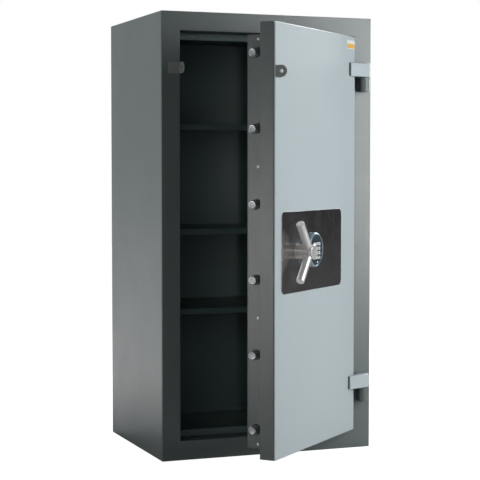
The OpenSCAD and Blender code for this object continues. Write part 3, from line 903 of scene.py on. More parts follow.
class SAFE_OT_door_frame(PieceOperator, bpy.types.Operator):
    """Door frame: a front ring, jambs with the bolts' keepers, and the stop lips"""
    bl_idname = "safe.door_frame"
    bl_label = "Door frame"

    def execute(self, context):
        left_low, left_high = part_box("frame_stile_lock")
        right_low, right_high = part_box("frame_stile_hinge")
        top_low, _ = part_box("frame_rail_top")
        _, bottom_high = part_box("frame_rail_bottom")
        front = left_low.y
        plate = 5 * MM
        lip_depth, lip_plate = 54 * MM, 10 * MM
        opening_low = (left_high.x, bottom_high.z - LIP_HEIGHT)
        opening_high = (right_low.x, top_low.z + LIP_HEIGHT)
        bm = bmesh.new()
        add_ring_plate(bm, rectangle((left_low.x, 0), (right_high.x, left_high.z)),
                       rectangle(opening_low, opening_high), plate, facing_front(front + plate))
        depth = left_high.y - left_low.y - plate
        self.jambs(bm, front + plate, depth, plate, opening_low, opening_high)
        left, right, behind = opening_low[0], opening_high[0], front + plate
        for z in (opening_low[1] - plate, opening_high[1]):
            add_box(bm, (left, behind, z), (right, behind + depth, z + plate))
        piece("door_frame", bm, "cabinet", [casing_paint()],
              ["frame_stile_lock", "frame_stile_hinge", "frame_rail_top", "frame_rail_bottom"],
              rounding=sizes().edge_radius, segments=3, sharp=60)
        self.lips(front + lip_depth, lip_plate, opening_low, opening_high)
        return {"FINISHED"}

    def jambs(self, bm, front, depth, plate, opening_low, opening_high):
        """The two side walls of the opening, with a hole for every bolt and dog."""
        height = opening_high[1] - opening_low[1] + 2 * plate
        for node, count, slack, edge in (("side_bolts", SIDE_BOLTS, BOLT_SLACK, opening_low[0] - plate),
                                         ("fixed_dogs", DOGS, DOG_SLACK, opening_high[0])):
            low, high = shut_box(node)
            heights, radius = row(low, high, count)
            middle, bottom = (low.y + high.y) / 2 - front, opening_low[1] - plate
            holes = [(middle, z - bottom, radius + slack) for z in heights]
            place = Matrix.Translation((edge, front, bottom)) @ YZ_WALL
            add_wall(bm, (depth, height), holes, plate, place)

    def lips(self, front, plate, opening_low, opening_high):
        """The stop lips above and below the door, the upper one with a plug over its vent hole."""
        width = opening_high[0] - opening_low[0]
        hole = (54 * MM, LIP_HEIGHT / 2, 4 * MM)
        plug_width, plug_height, plug_thickness = 24 * MM, 9 * MM, 1.5 * MM
        for name, low_z, holes in (("upper_stop_lip", opening_high[1] - LIP_HEIGHT, [hole]),
                                   ("lower_stop_lip", opening_low[1], [])):
            bm = bmesh.new()
            place = Matrix.Translation((opening_low[0], 0, low_z)) @ facing_front(front + plate)
            add_wall(bm, (width, LIP_HEIGHT), holes, plate, place)
            piece(name, bm, "cabinet", [inside_paint()],
                  rounding=1.4 * sizes().fold_radius, segments=4, sharp=60)
        x, z = opening_low[0] + hole[0], opening_high[1] - LIP_HEIGHT / 2
        bm = bmesh.new()
        outline = rounded_rectangle((x - plug_width / 2, z - plug_height / 2),
                                    (x + plug_width / 2, z + plug_height / 2), 4.4 * MM)
        add_prism(bm, outline, plug_thickness, facing_front(front))
        piece("lip_plug", bm, "cabinet", [casing_paint()], rounding=0.7 * MM, sharp=60)


class SAFE_OT_inside(PieceOperator, bpy.types.Operator):
    """Liner, shelves, slotted uprights and shelf clips"""
    bl_idname = "safe.inside"
    bl_label = "Inside"

    def execute(self, context):
        self.liner()
        for node in SHELVES:
            self.shelf(node)
        self.uprights()
        self.clips()
        return {"FINISHED"}

    def liner(self):
        """The inside walls, floor, roof and back, as one shell."""
        side_low, side_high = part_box("liner_sides")
        floor_low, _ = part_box("liner_floor")
        back_low, back_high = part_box("liner_back")
        low = Vector((side_low.x, side_low.y, floor_low.z))
        high = Vector((side_high.x, back_high.y, back_high.z))
        bm = bmesh.new()
        add_shell(bm, low, high, back_high.y - back_low.y)
        piece("liner", bm, "cabinet", [inside_paint()],
              ["liner_sides", "liner_roof", "liner_floor", "liner_back"], rounding=0.8 * MM)

    def shelf(self, node):
        """A pan folded from sheet: a top, four edges turned down and a return under the front edge."""
        low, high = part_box(node)
        sheet = 2 * MM
        back_turn = 12 * MM
        bm = bmesh.new()
        add_box(bm, (low.x, low.y, high.z - sheet), (high.x, high.y, high.z))
        for a, b in (((low.x, low.y), (high.x, low.y + sheet)), ((low.x, high.y - sheet), (high.x, high.y)),
                     ((low.x, low.y + sheet), (low.x + sheet, high.y - sheet)),
                     ((high.x - sheet, low.y + sheet), (high.x, high.y - sheet))):
            add_box(bm, (*a, low.z), (*b, high.z - sheet))
        add_box(bm, (low.x + sheet, low.y + sheet, low.z), (high.x - sheet, low.y + back_turn, low.z + sheet))
        join(bm)
        piece(node + "_pan", bm, "cabinet", [inside_paint()], [node],
              rounding=0.9 * MM, sharp=50)

    def uprights(self):
        """Four slotted uprights, each a stack of like cells with one slot."""
        low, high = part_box("shelf_strips")
        width, pitch = 25 * MM, 50 * MM
        slot_width, slot_height, slot_rise = 8 * MM, 20 * MM, 10 * MM
        count = int((high.z - low.z) / pitch)
        pitch = (high.z - low.z) / count
        middle = pitch / 2 + slot_rise
        cell = rectangle((-width / 2, 0), (width / 2, pitch))
        slot = rectangle((-slot_width / 2, middle - slot_height / 2),
                         (slot_width / 2, middle + slot_height / 2))
        uprights = bmesh.new()
        for side in (low.x, high.x - STRIP_THICKNESS):
            for y in (low.y + width / 2, high.y - width / 2):
                bm = bmesh.new()
                add_ring_plate(bm, cell, slot, STRIP_THICKNESS, YZ_WALL)
                part = temporary(bm)
                mesh = grown(bpy.data.meshes.new("upright line"), ladder_tree(), {
                    "Part": part, "Count": count, "Start": (side, y, low.z), "Step": (0, 0, pitch),
                    "Finish": inside_paint()})
                bpy.data.objects.remove(part)
                uprights.from_mesh(mesh)
                bpy.data.meshes.remove(mesh)
        join(uprights)
        piece("uprights", uprights, "cabinet", [inside_paint()], ["shelf_strips"])

    def clips(self):
        """Twelve folded clips with a brace, under the shelves' corners."""
        low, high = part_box("shelf_clips")
        _, strip_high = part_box("shelf_strips")
        reach, width, sheet = 19 * MM, 15 * MM, 1.6 * MM
        drop, brace, inset = 19 * MM, 0.8, 8 * MM
        bm = bmesh.new()
        add_box(bm, (-width / 2, 0, -sheet), (width / 2, reach, 0))
        add_box(bm, (-width / 2, 0, -drop), (width / 2, sheet, -sheet))
        add_prism(bm, [(sheet, -sheet), (reach * brace, -sheet), (sheet, -drop * brace)], sheet,
                  Matrix.Translation((-sheet / 2, 0, 0)) @ YZ_WALL)
        part = temporary(bm, 0.3 * MM)
        spots = []
        wall = strip_high.x - STRIP_THICKNESS
        for node in SHELVES:
            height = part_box(node)[0].z
            for y in (low.y + inset, high.y - inset):
                for side in (-1, 1):
                    spots.append((Vector((side * wall, y, height)), Z, side * math.pi / 2))
        mesh = scattered(part, spots, zinc_plate())
        mesh_piece("clips", mesh, "cabinet", [zinc_plate()], ["shelf_clips"])


class SAFE_OT_door_leaf(PieceOperator, bpy.types.Operator):
    """Door leaf: light front panel, dark pan behind it, bolt box, cover and seal"""
    bl_idname = "safe.door_leaf"
    bl_label = "Door leaf"

    def execute(self, context):
        low, high = shut_box("door_panel")
        bm = bmesh.new()
        add_box(bm, low, high)
        piece("front_panel", bm, "door", [door_paint()], ["door_panel"], AJAR,
              rounding=1.4 * sizes().fold_radius, segments=5)
        low, high = shut_box("door_tray")
        bm = bmesh.new()
        add_box(bm, low, high)
        piece("leaf_pan", bm, "door", [casing_paint()], ["door_tray"], AJAR,
              rounding=sizes().edge_radius, segments=3)
        self.bolt_box()
        for node, material in (("door_fill", fire_fill()), ("fire_seal", black_rubber()),
                               ("hard_plate", dark_steel())):
            finish_node(node, material)
        return {"FINISHED"}

    def bolt_box(self):
        """Four walls with holes for the bolts, and the cover over them, a plain box with rounded edges."""
        low, high = shut_box("bolt_housing")
        wall, rod_slack = 4 * MM, 1 * MM
        depth, height, width = high.y - low.y, high.z - low.z, high.x - low.x
        bm = bmesh.new()
        for node, count, slack, edge in (("side_bolts", SIDE_BOLTS, BOLT_SLACK, low.x),
                                         ("fixed_dogs", DOGS, 0, high.x - wall)):
            a, b = shut_box(node)
            heights, radius = row(a, b, count)
            holes = [((a.y + b.y) / 2 - low.y, z - low.z, radius + slack) for z in heights]
            add_wall(bm, (depth, height), holes, wall, Matrix.Translation((edge, low.y, low.z)) @ YZ_WALL)
        a, b = shut_box("top_bolt")
        radius = (b.x - a.x) / 2
        hole = ((a.x + b.x) / 2 - low.x - wall, b.y - radius - low.y, radius + rod_slack)
        for z in (low.z, high.z - wall):
            place = Matrix.Translation((low.x + wall, low.y, z))
            add_wall(bm, (width - 2 * wall, depth), [hole], wall, place)
        piece("bolt_box", bm, "door", [casing_paint()], ["bolt_housing"], AJAR,
              rounding=0.7 * MM, segments=2, sharp=60)
        low, high = shut_box("housing_cover")
        bm = bmesh.new()
        add_box(bm, low, high)
        piece("bolt_cover", bm, "door", [casing_paint()], ["housing_cover"], AJAR,
              rounding=0.8 * MM, segments=2)


class SAFE_OT_hinges(PieceOperator, bpy.types.Operator):
    """Wedge straps on the door, knuckles on the cabinet, pins and washers"""
    bl_idname = "safe.hinges"
    bl_label = "Hinges"

    def execute(self, context):
        low, high = shut_box("hinge_straps")
        _, knuckle_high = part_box("hinge_knuckles")
        strap_radius, radius = high.x - HINGE.x, knuckle_high.x - HINGE.x
        _, door_high = shut_box("door_panel")
        panel_thickness, washer, chamfer, pad = 5 * MM, 1.5 * MM, 1 * MM, 12 * MM
        strap_height, knuckle_height = 42 * MM, 45 * MM
        front = door_high.y - panel_thickness
        bm, knuckles = bmesh.new(), bmesh.new()
        for z in (low.z, high.z - strap_height):
            outline = self.outline(low.x, front, door_high.x, strap_radius)
            add_prism(bm, outline, strap_height, Matrix.Translation((0, 0, z)))
            bottom = z - washer - knuckle_height
            add_lathe(knuckles, [(0, 0), (radius - chamfer, 0), (radius, chamfer),
                                 (radius, knuckle_height - chamfer), (radius - chamfer, knuckle_height),
                                 (0, knuckle_height)], Matrix.Translation((HINGE.x, HINGE.y, bottom)))
            add_box(knuckles, (HINGE.x - pad, HINGE.y, bottom + chamfer),
                    (HINGE.x + pad, front, bottom + knuckle_height - chamfer))
            self.weld(knuckles, front, bottom, knuckle_height, pad)
        bm.normal_update()
        for face in bm.faces:               # painted shade: the short end of a strap gets the casing's dark paint to stand in for the shade it sits in
            at_end = face.calc_center_median().x < low.x + 1 * MM
            face.material_index = 1 if face.normal.x < -0.9 and at_end else 0
        piece("straps", bm, "door", [door_paint(), casing_paint()], ["hinge_straps"], AJAR,
              rounding=sizes().fold_radius, segments=4, sharp=35)
        piece("knuckles", knuckles, "cabinet", [casing_paint()], ["hinge_knuckles"])
        finish_node("hinge_pins", turned_steel())
        finish_node("hinge_washers", dark_steel())
        return {"FINISHED"}

    def outline(self, end_x, front, door_edge, radius):
        """Plan of a strap: a wedge from the door's face to the front of the barrel."""
        thick, clear = 8 * MM, 1.2 * MM
        away, rise = HINGE.x - end_x, front - thick - HINGE.y
        tilt = math.asin(radius / math.hypot(away, rise)) + math.atan2(rise, away)
        start = -math.pi / 2 - tilt
        barrel = arc((HINGE.x, HINGE.y), radius, start, math.pi / 2, 40)
        return [(end_x, front), (end_x, front - thick), *barrel, (HINGE.x - 1 * MM, front - clear),
                (door_edge - 2 * MM, front - clear), (door_edge - 4 * MM, front)]

    def weld(self, bm, front, bottom, height, pad):
        """A rippled weld bead down each side of the pad."""
        bead, ripple, end, rings = 1.6 * MM, 0.35 * MM, 2 * MM, 40
        profile = [(0, 0)]
        for i in range(rings + 1):
            profile.append((bead + ripple * math.sin(i * math.pi / 2), end + i * (height - 2 * end) / rings))
        profile.append((0, height - end))
        for side in (-1, 1):
            add_lathe(bm, profile, Matrix.Translation((HINGE.x + side * pad, front - 0.2 * MM, bottom)), 10)


class SAFE_OT_bolts(PieceOperator, bpy.types.Operator):
    """Side bolts, fixed dogs, upper and lower bolts, and the finish of the bar and the guides"""
    bl_idname = "safe.bolts"
    bl_label = "Bolts"

    def execute(self, context):
        chamfer = sizes().chamfer
        low, high = shut_box("side_bolts")
        bar_low, _ = shut_box("lock_bar")
        length, stud, stud_radius = bar_low.x - low.x, high.x - bar_low.x, 6 * MM
        heights, radius = row(low, high, SIDE_BOLTS)
        bm = bmesh.new()
        for z in heights:
            place = facing(X, Vector((low.x, (low.y + high.y) / 2, z)))
            add_bolt(bm, radius, length, 1.3 * chamfer, place)
            add_lathe(bm, [(0, 0), (stud_radius, 0), (stud_radius, stud), (0, stud)],
                      place @ Matrix.Translation((0, 0, length)), SMALL_SIDES)
        join(bm)
        piece("bolt_set", bm, "bolt_bar", [turned_steel(), faced_steel()], ["side_bolts"], AJAR)
        low, high = shut_box("fixed_dogs")
        heights, radius = row(low, high, DOGS)
        bm = bmesh.new()
        for z in heights:
            place = facing(-X, Vector((high.x, (low.y + high.y) / 2, z)))
            add_bolt(bm, radius, high.x - low.x, chamfer, place)
        join(bm)
        piece("dogs", bm, "door", [turned_steel(), faced_steel()], ["fixed_dogs"], AJAR)
        self.vertical_bolt("top_bolt", "upper_bolt", 1)
        self.vertical_bolt("bottom_bolt", "lower_bolt", -1)
        finish_node("lock_bar", zinc_plate())
        finish_node("bolt_guides", zinc_plate())
        return {"FINISHED"}

    def vertical_bolt(self, node, body, way):
        """A bolt on a rod, with the cross pin that the lock bar's cam moves."""
        low, high = shut_box(node)
        radius = (high.x - low.x) / 2
        axis = Vector(((low.x + high.x) / 2, high.y - radius, high.z if way > 0 else low.z))
        rod, head, tip, neck = 7 * MM, 45 * MM, 2 * MM, 1 * MM
        pin, pin_margin = 4 * MM, 8 * MM
        length = high.z - low.z
        bm = bmesh.new()
        add_lathe(bm, [(0, 0), (radius - tip, 0), (radius, tip), (radius, head - neck), (radius - neck, head),
                       (rod, head), (rod, length), (0, length)], facing(-way * Z, axis))
        follower = axis - way * Z * (length - pin_margin)
        reach = follower.y - low.y
        add_lathe(bm, [(0, 0), (pin, 0), (pin, reach), (0, reach)], facing(OUT, follower), SMALL_SIDES)
        piece(body + "_rod", bm, body, [turned_steel()], [node], AJAR)


def add_bolt(bm, radius, length, chamfer, place):
    """A turned bolt: a faintly dished end of its own finish inside a bright chamfer."""
    face, ring, dish = radius - chamfer, 0.6 * MM, 0.5 * MM
    add_lathe(bm, [(0, dish), (face - 1.5 * MM, 0.7 * dish), (face - ring, 0)], place, material=1)
    add_lathe(bm, [(face - ring, 0), (face, 0), (radius - 1.2 * MM, 0.45 * chamfer),
                   (radius - 0.3 * MM, 0.8 * chamfer), (radius, chamfer + ring), (radius, length),
                   (0, length)], place)


class SAFE_OT_lock_plate(PieceOperator, bpy.types.Operator):
    """Brushed plate under the handle and the keypad, and the finish of the lock behind it"""
    bl_idname = "safe.lock_plate"
    bl_label = "Lock plate"

    def execute(self, context):
        low, high = shut_box("lock_plate")
        corner_radius = 18 * MM
        bm = bmesh.new()
        outline = rounded_rectangle((low.x, low.z), (high.x, high.z), corner_radius)
        add_prism(bm, outline, high.y - low.y, facing_front(high.y))
        piece("escutcheon", bm, "door", [brushed_plate()], ["lock_plate"], AJAR,
              rounding=0.7 * MM, segments=3, sharp=60)
        finish_node("spindle_bush", bearing_bronze())
        finish_node("lock_case", cast_alloy())
        finish_node("lock_cable", cable_jacket())
        finish_node("lock_blocker", bearing_bronze())
        return {"FINISHED"}


class SAFE_OT_handle(PieceOperator, bpy.types.Operator):
    """Turn handle: a hub with a groove and a sunk end, and two chamfered bars"""
    bl_idname = "safe.handle"
    bl_label = "Handle"

    def execute(self, context):
        low, high = shut_box("handle_hub")
        radius = (high.x - low.x) / 2
        axis = Vector((low.x + radius, high.y, low.z + radius))
        length = high.y - low.y
        chamfer = sizes().chamfer
        collar, groove, recess = 3 * MM, 0.8 * MM, 0.5 * MM
        rim = radius - chamfer - 3 * MM
        bm = bmesh.new()
        add_lathe(bm, [(0, 0), (radius, 0), (radius, collar), (radius - groove, collar + groove),
                       (radius - groove, collar + 2 * groove), (radius, collar + 3 * groove),
                       (radius, length - chamfer), (radius - chamfer, length), (rim, length)],
                  facing(OUT, axis))
        add_lathe(bm, [(rim, length), (rim - 0.4 * MM, length - recess), (0, length - recess)],
                  facing(OUT, axis))
        join(bm)
        piece("hub", bm, "handle", [satin_steel()], ["handle_hub"], AJAR)
        self.bars(axis, radius)
        finish_node("spindle_crank", dark_steel())
        return {"FINISHED"}

    def bars(self, axis, hub_radius):
        """The two bars; their directions come from the ends of the frame's own bars."""
        low, high = shut_box("handle_spokes")
        points = [SHUT @ v.co for v in frame["nodes"]["handle_spokes"].data.vertices]
        radius = (high.y - low.y) / 2
        depth = (low.y + high.y) / 2
        centre = Vector((axis.x, depth, axis.z))
        corner = radius - 2.5 * MM          # distance from a bar's axis to the rim of its end
        length = max((p - centre).length for p in points if abs(p.y - depth) < 2 * MM)
        reach = math.sqrt(max(length ** 2 - corner ** 2, 0))
        chamfer = sizes().chamfer
        tilt = spoke_tilt(reach, radius, chamfer, high.z - centre.z)
        root = 0.4 * hub_radius
        bm = bmesh.new()
        for way in (1, -1):
            direction = Vector((-math.cos(tilt), 0, way * math.sin(tilt)))
            add_lathe(bm, [(0, root), (radius, root), (radius, reach - chamfer), (radius - chamfer, reach),
                           (0, reach)], facing(direction, centre))
        piece("bars", bm, "handle", [satin_steel()], ["handle_spokes"], AJAR)


def spoke_tilt(reach, radius, chamfer, rise):
    """Angle of a bar above the horizontal whose chamfered end comes up to a given height."""
    tilt = 0.9
    for _ in range(30):
        highest = max((reach - chamfer) * math.sin(tilt) + radius * math.cos(tilt),
                      reach * math.sin(tilt) + (radius - chamfer) * math.cos(tilt))
        tilt += (rise - highest) / reach
    return tilt


class SAFE_OT_keypad(PieceOperator, bpy.types.Operator):
    """Round keypad: housing with a seam, dark field, lamp and twelve keys"""
    bl_idname = "safe.keypad"
    bl_label = "Keypad"

    def execute(self, context):
        low, high = shut_box("keypad_body")
        radius = (high.x - low.x) / 2
        centre = Vector((low.x + radius, high.y, low.z + radius))
        height = high.y - low.y
        self.housing(centre, radius, height)
        self.lamp(centre, height)
        for name in LEGENDS:
            self.key(name)
        return {"FINISHED"}

    def housing(self, centre, radius, height):
        """The drum with a round shoulder, its sunk face and the field under the keys."""
        place, sides = facing(OUT, centre), 96
        base, seam, shoulder, sink = 4 * MM, 0.6 * MM, 4 * MM, 0.9 * MM
        rim = radius - 5 * MM
        floor = rim - 1 * MM
        bm = bmesh.new()
        add_lathe(bm, [(0, 0), (radius, 0), (radius, base), (radius - seam, base + seam),
                       (radius, base + 2 * seam), (radius, height - shoulder),
                       (radius - 1.2 * MM, height - 1.8 * MM),
                       (radius - 3.6 * MM, height), (rim, height), (rim - 0.6 * MM, height - sink),
                       (floor, height - sink)], place, sides)
        add_lathe(bm, [(floor, height - sink), (0, height - sink)], place, sides, material=1)
        join(bm)
        key_low, key_high = keys_box()
        margin = 3.5 * MM
        outline = rounded_rectangle((key_low.x - margin, key_low.z - margin),
                                    (key_high.x + margin, key_high.z + margin), 3 * MM)
        add_prism(bm, outline, 0.7 * MM, facing_front(centre.y - height + sink), material=2)
        piece("keypad_drum", bm, "door", [keypad_metal(), keypad_face(), keypad_field()],
              ["keypad_body"], AJAR)

    def lamp(self, centre, height):
        """Small domed lamp between the keys and the rim."""
        key_low, _ = keys_box()
        radius, rise, steps = 2.4 * MM, 1.2 * MM, 6
        spot = Vector((centre.x + 9 * MM, centre.y - height + 0.9 * MM, key_low.z - 9 * MM))
        bm = bmesh.new()
        dome = [(radius * math.cos(a), rise * math.sin(a)) for a in (i * math.pi / 12 for i in range(steps))]
        add_lathe(bm, [(0, 0), *dome, (0, rise)], facing(OUT, spot), SMALL_SIDES)
        piece("keypad_lamp", bm, "door", [lamp_lens()], place=AJAR, sharp=60)

    def key(self, name):
        """One key with a cushioned top and its printed sign."""
        low, high = shut_box("key_" + name)
        corner_radius, cushion = 1.6 * MM, 0.7 * MM
        bm = bmesh.new()
        add_box(bm, low, high)
        sides = [e for e in bm.edges if abs(e.verts[0].co.y - e.verts[1].co.y) > 1 * MM]
        bmesh.ops.recalc_face_normals(bm, faces=bm.faces)
        bmesh.ops.bevel(bm, geom=sides, offset=corner_radius, segments=4, profile=0.5, affect="EDGES")
        front = [e for e in bm.edges if all(abs(v.co.y - low.y) < 1e-6 for v in e.verts)]
        bmesh.ops.bevel(bm, geom=front, offset=cushion, segments=3, profile=0.5, affect="EDGES")
        middle = Matrix.Translation(((low.x + high.x) / 2, (low.z + high.z) / 2, 0))
        sign = sign_mesh(LEGENDS[name])
        sign.transform(facing_front(low.y) @ middle)
        sign.polygons.foreach_set("material_index", [1] * len(sign.polygons))
        bm.from_mesh(sign)
        bpy.data.meshes.remove(sign)
        piece("keycap_" + name, bm, "button_" + name, [key_plastic(), key_print()], ["key_" + name],
              AJAR)


LEGENDS = {**{str(digit): str(digit) for digit in range(10)}, "star": "*", "hash": "#"}


def keys_box():
    """Lowest and highest corner of all the keys together."""
    boxes = [shut_box("key_" + name) for name in LEGENDS]
    return (Vector([min(low[i] for low, _ in boxes) for i in range(3)]),
            Vector([max(high[i] for _, high in boxes) for i in range(3)]))


def sign_mesh(sign):
    """A printed digit as a thin raised mesh, centred, in local X and Y."""
    text = bpy.data.curves.new("sign", "FONT")
    text.body = sign
    text.size = 6.4 * MM
    text.extrude = 0.06 * MM
    text.resolution_u = 3
    host = bpy.data.objects.new("sign", text)
    bpy.context.scene.collection.objects.link(host)
    bpy.context.view_layer.update()
    graph = bpy.context.evaluated_depsgraph_get()
    mesh = bpy.data.meshes.new_from_object(host.evaluated_get(graph), depsgraph=graph)
    bpy.data.objects.remove(host)
    xs, ys = [v.co.x for v in mesh.vertices], [v.co.y for v in mesh.vertices]
    mesh.transform(Matrix.Translation((-(min(xs) + max(xs)) / 2, -(min(ys) + max(ys)) / 2, 0)))
    return mesh


class SAFE_OT_seal_lugs(PieceOperator, bpy.types.Operator):
    """Angles with round ears, one on the cabinet and one on the door, for a seal wire"""
    bl_idname = "safe.seal_lugs"
    bl_label = "Sealing lugs"

    def execute(self, context):
        self.lug("cabinet_ear", "seal_lug_cabinet", "cabinet", STILL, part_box("seal_lug_cabinet"))
        self.lug("door_ear", "seal_lug_door", "door", AJAR, shut_box("seal_lug_door"))
        return {"FINISHED"}

    def lug(self, name, node, body, place, box):
        """An ear that is round in front and square behind, with a foot that lies flat."""
        low, high = box
        sheet, hole, steps = 3 * MM, 5.5 * MM, 64
        radius = (high.z - low.z) / 2
        centre_z = (high.z + low.z) / 2
        crown = low.y + radius
        on_cabinet = body == "cabinet"
        outer, inner = [], []
        for i in range(steps):
            angle = math.tau * i / steps
            along, across = math.cos(angle), math.sin(angle)
            if along <= 0:
                reach = radius
            else:
                reach = min(radius / max(abs(across), 1e-6), (high.y - crown) / max(along, 1e-6))
            outer.append((crown + reach * along, centre_z + reach * across))
            inner.append((crown + hole * along, centre_z + hole * across))
        ear_x = high.x - sheet if on_cabinet else low.x
        foot_low = low.x if on_cabinet else low.x + sheet
        foot_high = high.x - sheet if on_cabinet else high.x
        bm = bmesh.new()
        add_ring_plate(bm, outer, inner, sheet, Matrix.Translation((ear_x, 0, 0)) @ YZ_WALL)
        add_box(bm, (foot_low, high.y - sheet, low.z), (foot_high, high.y, high.z))
        piece(name, bm, body, [lug_paint()], [node], place,
              rounding=0.7 * MM, segments=2, sharp=50)


class SAFE_OT_screws(PieceOperator, bpy.types.Operator):
    """Screw heads round the bolt cover and in the bolt box's side, and rivets in the sill"""
    bl_idname = "safe.screws"
    bl_label = "Screws"

    def execute(self, context):
        self.cover()
        self.frame_rivets()
        return {"FINISHED"}

    def frame_rivets(self):
        """Four small rivets in the sill of the opening."""
        left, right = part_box("frame_stile_lock")[1].x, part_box("frame_stile_hinge")[0].x
        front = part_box("frame_stile_lock")[0].y
        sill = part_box("frame_rail_bottom")[1].z - LIP_HEIGHT
        outer, inner, behind = 17 * MM, 56 * MM, 16 * MM
        spots = [(Vector((x, front + behind, sill)), Z, 0)
                 for x in (left + outer, left + inner, right - inner, right - outer)]
        bm = bmesh.new()
        dome = [(0, 0), (3 * MM, 0), (2.6 * MM, 0.7 * MM), (1.4 * MM, 1.1 * MM), (0, 1.2 * MM)]
        add_lathe(bm, dome, sides=16)
        mesh = scattered(temporary(bm), spots, zinc_plate())
        mesh_piece("frame_rivets", mesh, "cabinet", [zinc_plate()])

    def cover(self):
        """Two columns of screws in the cover, and four in the bolt box's free side."""
        low, high = shut_box("housing_cover")
        box_low, _ = shut_box("bolt_housing")
        inset, end, gaps = 12 * MM, 14 * MM, 6
        side_heights = (low.z + inset, low.z + 378 * MM, high.z - 376 * MM, high.z - inset)
        side_depth = box_low.y + 22 * MM
        spots = []
        for x in (low.x + inset, high.x - inset):
            for i in range(gaps + 1):
                z = low.z + end + i * (high.z - low.z - 2 * end) / gaps
                spots.append((Vector((x, high.y, z)), Y, 0.7 * i + 30 * x))
        for i, z in enumerate(side_heights):
            spots.append((Vector((box_low.x, side_depth, z)), -X, 0.9 * i))
        mesh = scattered(screw_head(5 * MM, 1.6 * MM), spots, zinc_plate())
        mesh_piece("screws", mesh, "door", [zinc_plate()], ["cover_screws"], AJAR)


class SAFE_OT_badge(PieceOperator, bpy.types.Operator):
    """Blank badge in the door's upper corner"""
    bl_idname = "safe.badge"
    bl_label = "Badge"

    def execute(self, context):
        low, high = shut_box("door_panel")
        width, height = sizes().badge_width, sizes().badge_height
        margin_x, margin_z, border, plain_share = 5 * MM, 13 * MM, 2 * MM, 0.42
        thickness, raised = 0.8 * MM, 0.3 * MM
        right, top = high.x - margin_x, high.z - margin_z
        bm = bmesh.new()
        outline = rounded_rectangle((right - width, top - height), (right, top), 2 * MM, 5)
        add_prism(bm, outline, thickness, facing_front(low.y))
        band = rounded_rectangle((right - width + border, top - height + border),
                                 (right - border, top - plain_share * height), 1 * MM, 4)
        add_prism(bm, band, raised, facing_front(low.y - thickness), material=1)
        piece("blank_badge", bm, "door", [badge_enamel(), amber_enamel()], place=AJAR,
              rounding=0.2 * MM, segments=2, sharp=60)
        return {"FINISHED"}


# ---------------------------------------------------------------- stage

WHITE = (1, 1, 1)
SAFE_MIDDLE = Vector((0, -0.2, 0.75))       # what the soft boxes are aimed at
CAMERA_PLACE, CAMERA_AZIMUTH, CAMERA_FALL, CAMERA_LENS = (-1.7190, -4.4700, 0.8978), 21.137, 2.850, 109.28


def soft_box(name, azimuth, height, distance, size, power, colour=WHITE):
    """A soft box aimed at the safe, by its angle round it (0 is in front) and above it."""
    light = bpy.data.lights.new(name, "AREA")
    light.shape = "RECTANGLE"
    light.size, light.size_y = size
    light.energy = power
    light.color = colour
    obj = bpy.data.objects.new(name, light)
    bpy.context.scene.collection.objects.link(obj)
    turn, rise = math.radians(azimuth), math.radians(height)
    away = Vector((math.sin(turn) * math.cos(rise), -math.cos(turn) * math.cos(rise), math.sin(rise)))
    obj.location = SAFE_MIDDLE + distance * away
    obj.rotation_euler = (-away).to_track_quat("-Z", "Y").to_euler()
    obj.visible_camera = False


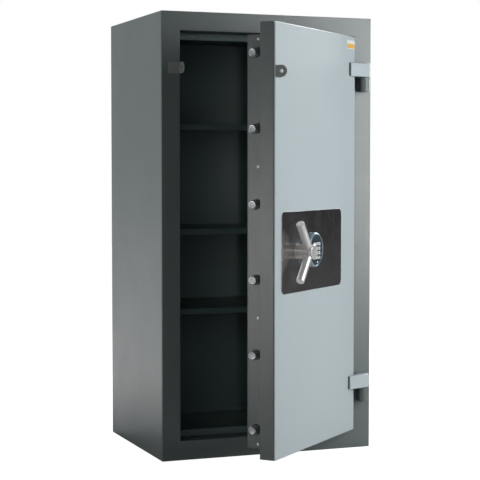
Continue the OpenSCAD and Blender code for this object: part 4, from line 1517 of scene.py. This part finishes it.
class SAFE_OT_stage(PieceOperator, bpy.types.Operator):
    """Pale floor, soft studio light and the camera"""
    bl_idname = "safe.stage"
    bl_label = "Stage"

    def execute(self, context):
        self.floor()
        self.lights()
        self.camera()
        return {"FINISHED"}

    def floor(self):
        """A pale slab, white to the camera and brighter behind the safe."""
        reach, thickness, grey = 12, 0.02, 0.25
        bm = bmesh.new()
        add_box(bm, (-reach, -reach, -thickness), (reach, reach, 0))
        mesh = bpy.data.meshes.new("floor")
        bm.to_mesh(mesh)
        bm.free()
        material, tree, shader = new_material("studio floor")
        shader.inputs["Base Color"].default_value = (grey, grey, grey, 1)
        shader.inputs["Roughness"].default_value = 0.8
        shader.inputs["Emission Color"].default_value = (*WHITE, 1)
        seen = tree.nodes.new("ShaderNodeLightPath").outputs["Is Camera Ray"]
        lit = self.backward(tree, "Object", 0.3, 1.5, 0.05, 0.9)
        link(tree, maths(tree, "MAXIMUM", seen, lit), shader.inputs["Emission Strength"])
        mesh.materials.append(material)
        obj = bpy.data.objects.new("floor", mesh)
        bpy.context.scene.collection.objects.link(obj)

    def lights(self):
        """The surroundings and four soft boxes."""
        scene = bpy.context.scene
        world = bpy.data.worlds.new("studio")
        scene.world = world
        world.use_nodes = True
        self.sky(world.node_tree, world.node_tree.nodes["Background"])
        soft_box("key", azimuth=41, height=9, distance=2.3, size=(1.1, 1.7), power=38,
                 colour=(0.97, 0.995, 1.0))
        soft_box("fill", azimuth=-30, height=10, distance=4.0, size=(1.5, 1.5), power=10,
                 colour=(1.0, 0.99, 0.975))
        soft_box("card", azimuth=-67, height=-5, distance=2.4, size=(0.5, 0.9), power=5.5,
                 colour=(1.0, 0.975, 0.95))
        soft_box("rim", azimuth=136, height=24, distance=3.2, size=(2.0, 1.6), power=150)
        scene.view_settings.view_transform = "Standard"

    def backward(self, tree, coordinate, near, far, low, high):
        """Value that rises behind the safe and to its left."""
        dot = tree.nodes.new("ShaderNodeVectorMath")
        dot.operation = "DOT_PRODUCT"
        link(tree, tree.nodes.new("ShaderNodeTexCoord").outputs[coordinate], dot.inputs[0])
        dot.inputs[1].default_value = (-0.5, 0.866, 0.0)
        return spread(tree, dot.outputs["Value"], near, far, low, high)

    def sky(self, tree, glow):
        """White to the camera; to the safe it is dark, and bright behind and to the left."""
        dark, pale = (0.045, 0.048, 0.05), (0.49, 0.53, 0.54)
        bright = self.backward(tree, "Generated", 0.42, 0.8, 0.0, 1.0)
        around = mixed(tree, bright, dark, pale)
        seen = tree.nodes.new("ShaderNodeLightPath").outputs["Is Camera Ray"]
        link(tree, mixed(tree, seen, around, WHITE), glow.inputs["Color"])

    def camera(self):
        """A long lens at about two thirds of the safe's height, from its front left."""
        scene = bpy.context.scene
        data = bpy.data.cameras.new("camera")
        data.sensor_width = 36
        data.lens = CAMERA_LENS
        data.clip_start, data.clip_end = 0.1, 50
        obj = bpy.data.objects.new("camera", data)
        scene.collection.objects.link(obj)
        turn, tip = math.radians(CAMERA_AZIMUTH), math.radians(CAMERA_FALL)
        ahead = Vector((math.sin(turn) * math.cos(tip), math.cos(turn) * math.cos(tip), -math.sin(tip)))
        obj.location = CAMERA_PLACE
        obj.rotation_euler = ahead.to_track_quat("-Z", "Y").to_euler()
        scene.camera = obj


# ---------------------------------------------------------------- panel and registration

OPERATORS = (SAFE_OT_stage, SAFE_OT_casing, SAFE_OT_door_frame, SAFE_OT_inside, SAFE_OT_door_leaf,
             SAFE_OT_hinges, SAFE_OT_bolts, SAFE_OT_lock_plate, SAFE_OT_handle, SAFE_OT_keypad,
             SAFE_OT_seal_lugs, SAFE_OT_screws, SAFE_OT_badge)


class SAFE_PT_panel(bpy.types.Panel):
    """Settings and pieces of the safe"""
    bl_label = "Safe"
    bl_idname = "SAFE_PT_panel"
    bl_space_type = "VIEW_3D"
    bl_region_type = "UI"
    bl_category = "Safe"

    def draw(self, context):
        layout = self.layout
        for group in (context.scene.safe_sizes, context.scene.safe_colours):
            box = layout.box()
            for name in group.bl_rna.properties.keys():
                if name not in ("rna_type", "name"):
                    box.prop(group, name)
        for operator in OPERATORS:
            layout.operator(operator.bl_idname)


CLASSES = (SAFE_PG_sizes, SAFE_PG_colours, *OPERATORS, SAFE_PT_panel)


def register():
    for cls in CLASSES:
        bpy.utils.register_class(cls)
    bpy.types.Scene.safe_sizes = bpy.props.PointerProperty(type=SAFE_PG_sizes)
    bpy.types.Scene.safe_colours = bpy.props.PointerProperty(type=SAFE_PG_colours)


def unregister():
    del bpy.types.Scene.safe_colours
    del bpy.types.Scene.safe_sizes
    for cls in reversed(CLASSES):
        bpy.utils.unregister_class(cls)


def main():
    register()
    for operator in OPERATORS:
        group, name = operator.bl_idname.split(".")
        getattr(getattr(bpy.ops, group), name)()
    bpy.context.view_layer.update()


if __name__ == "__main__":
    main()
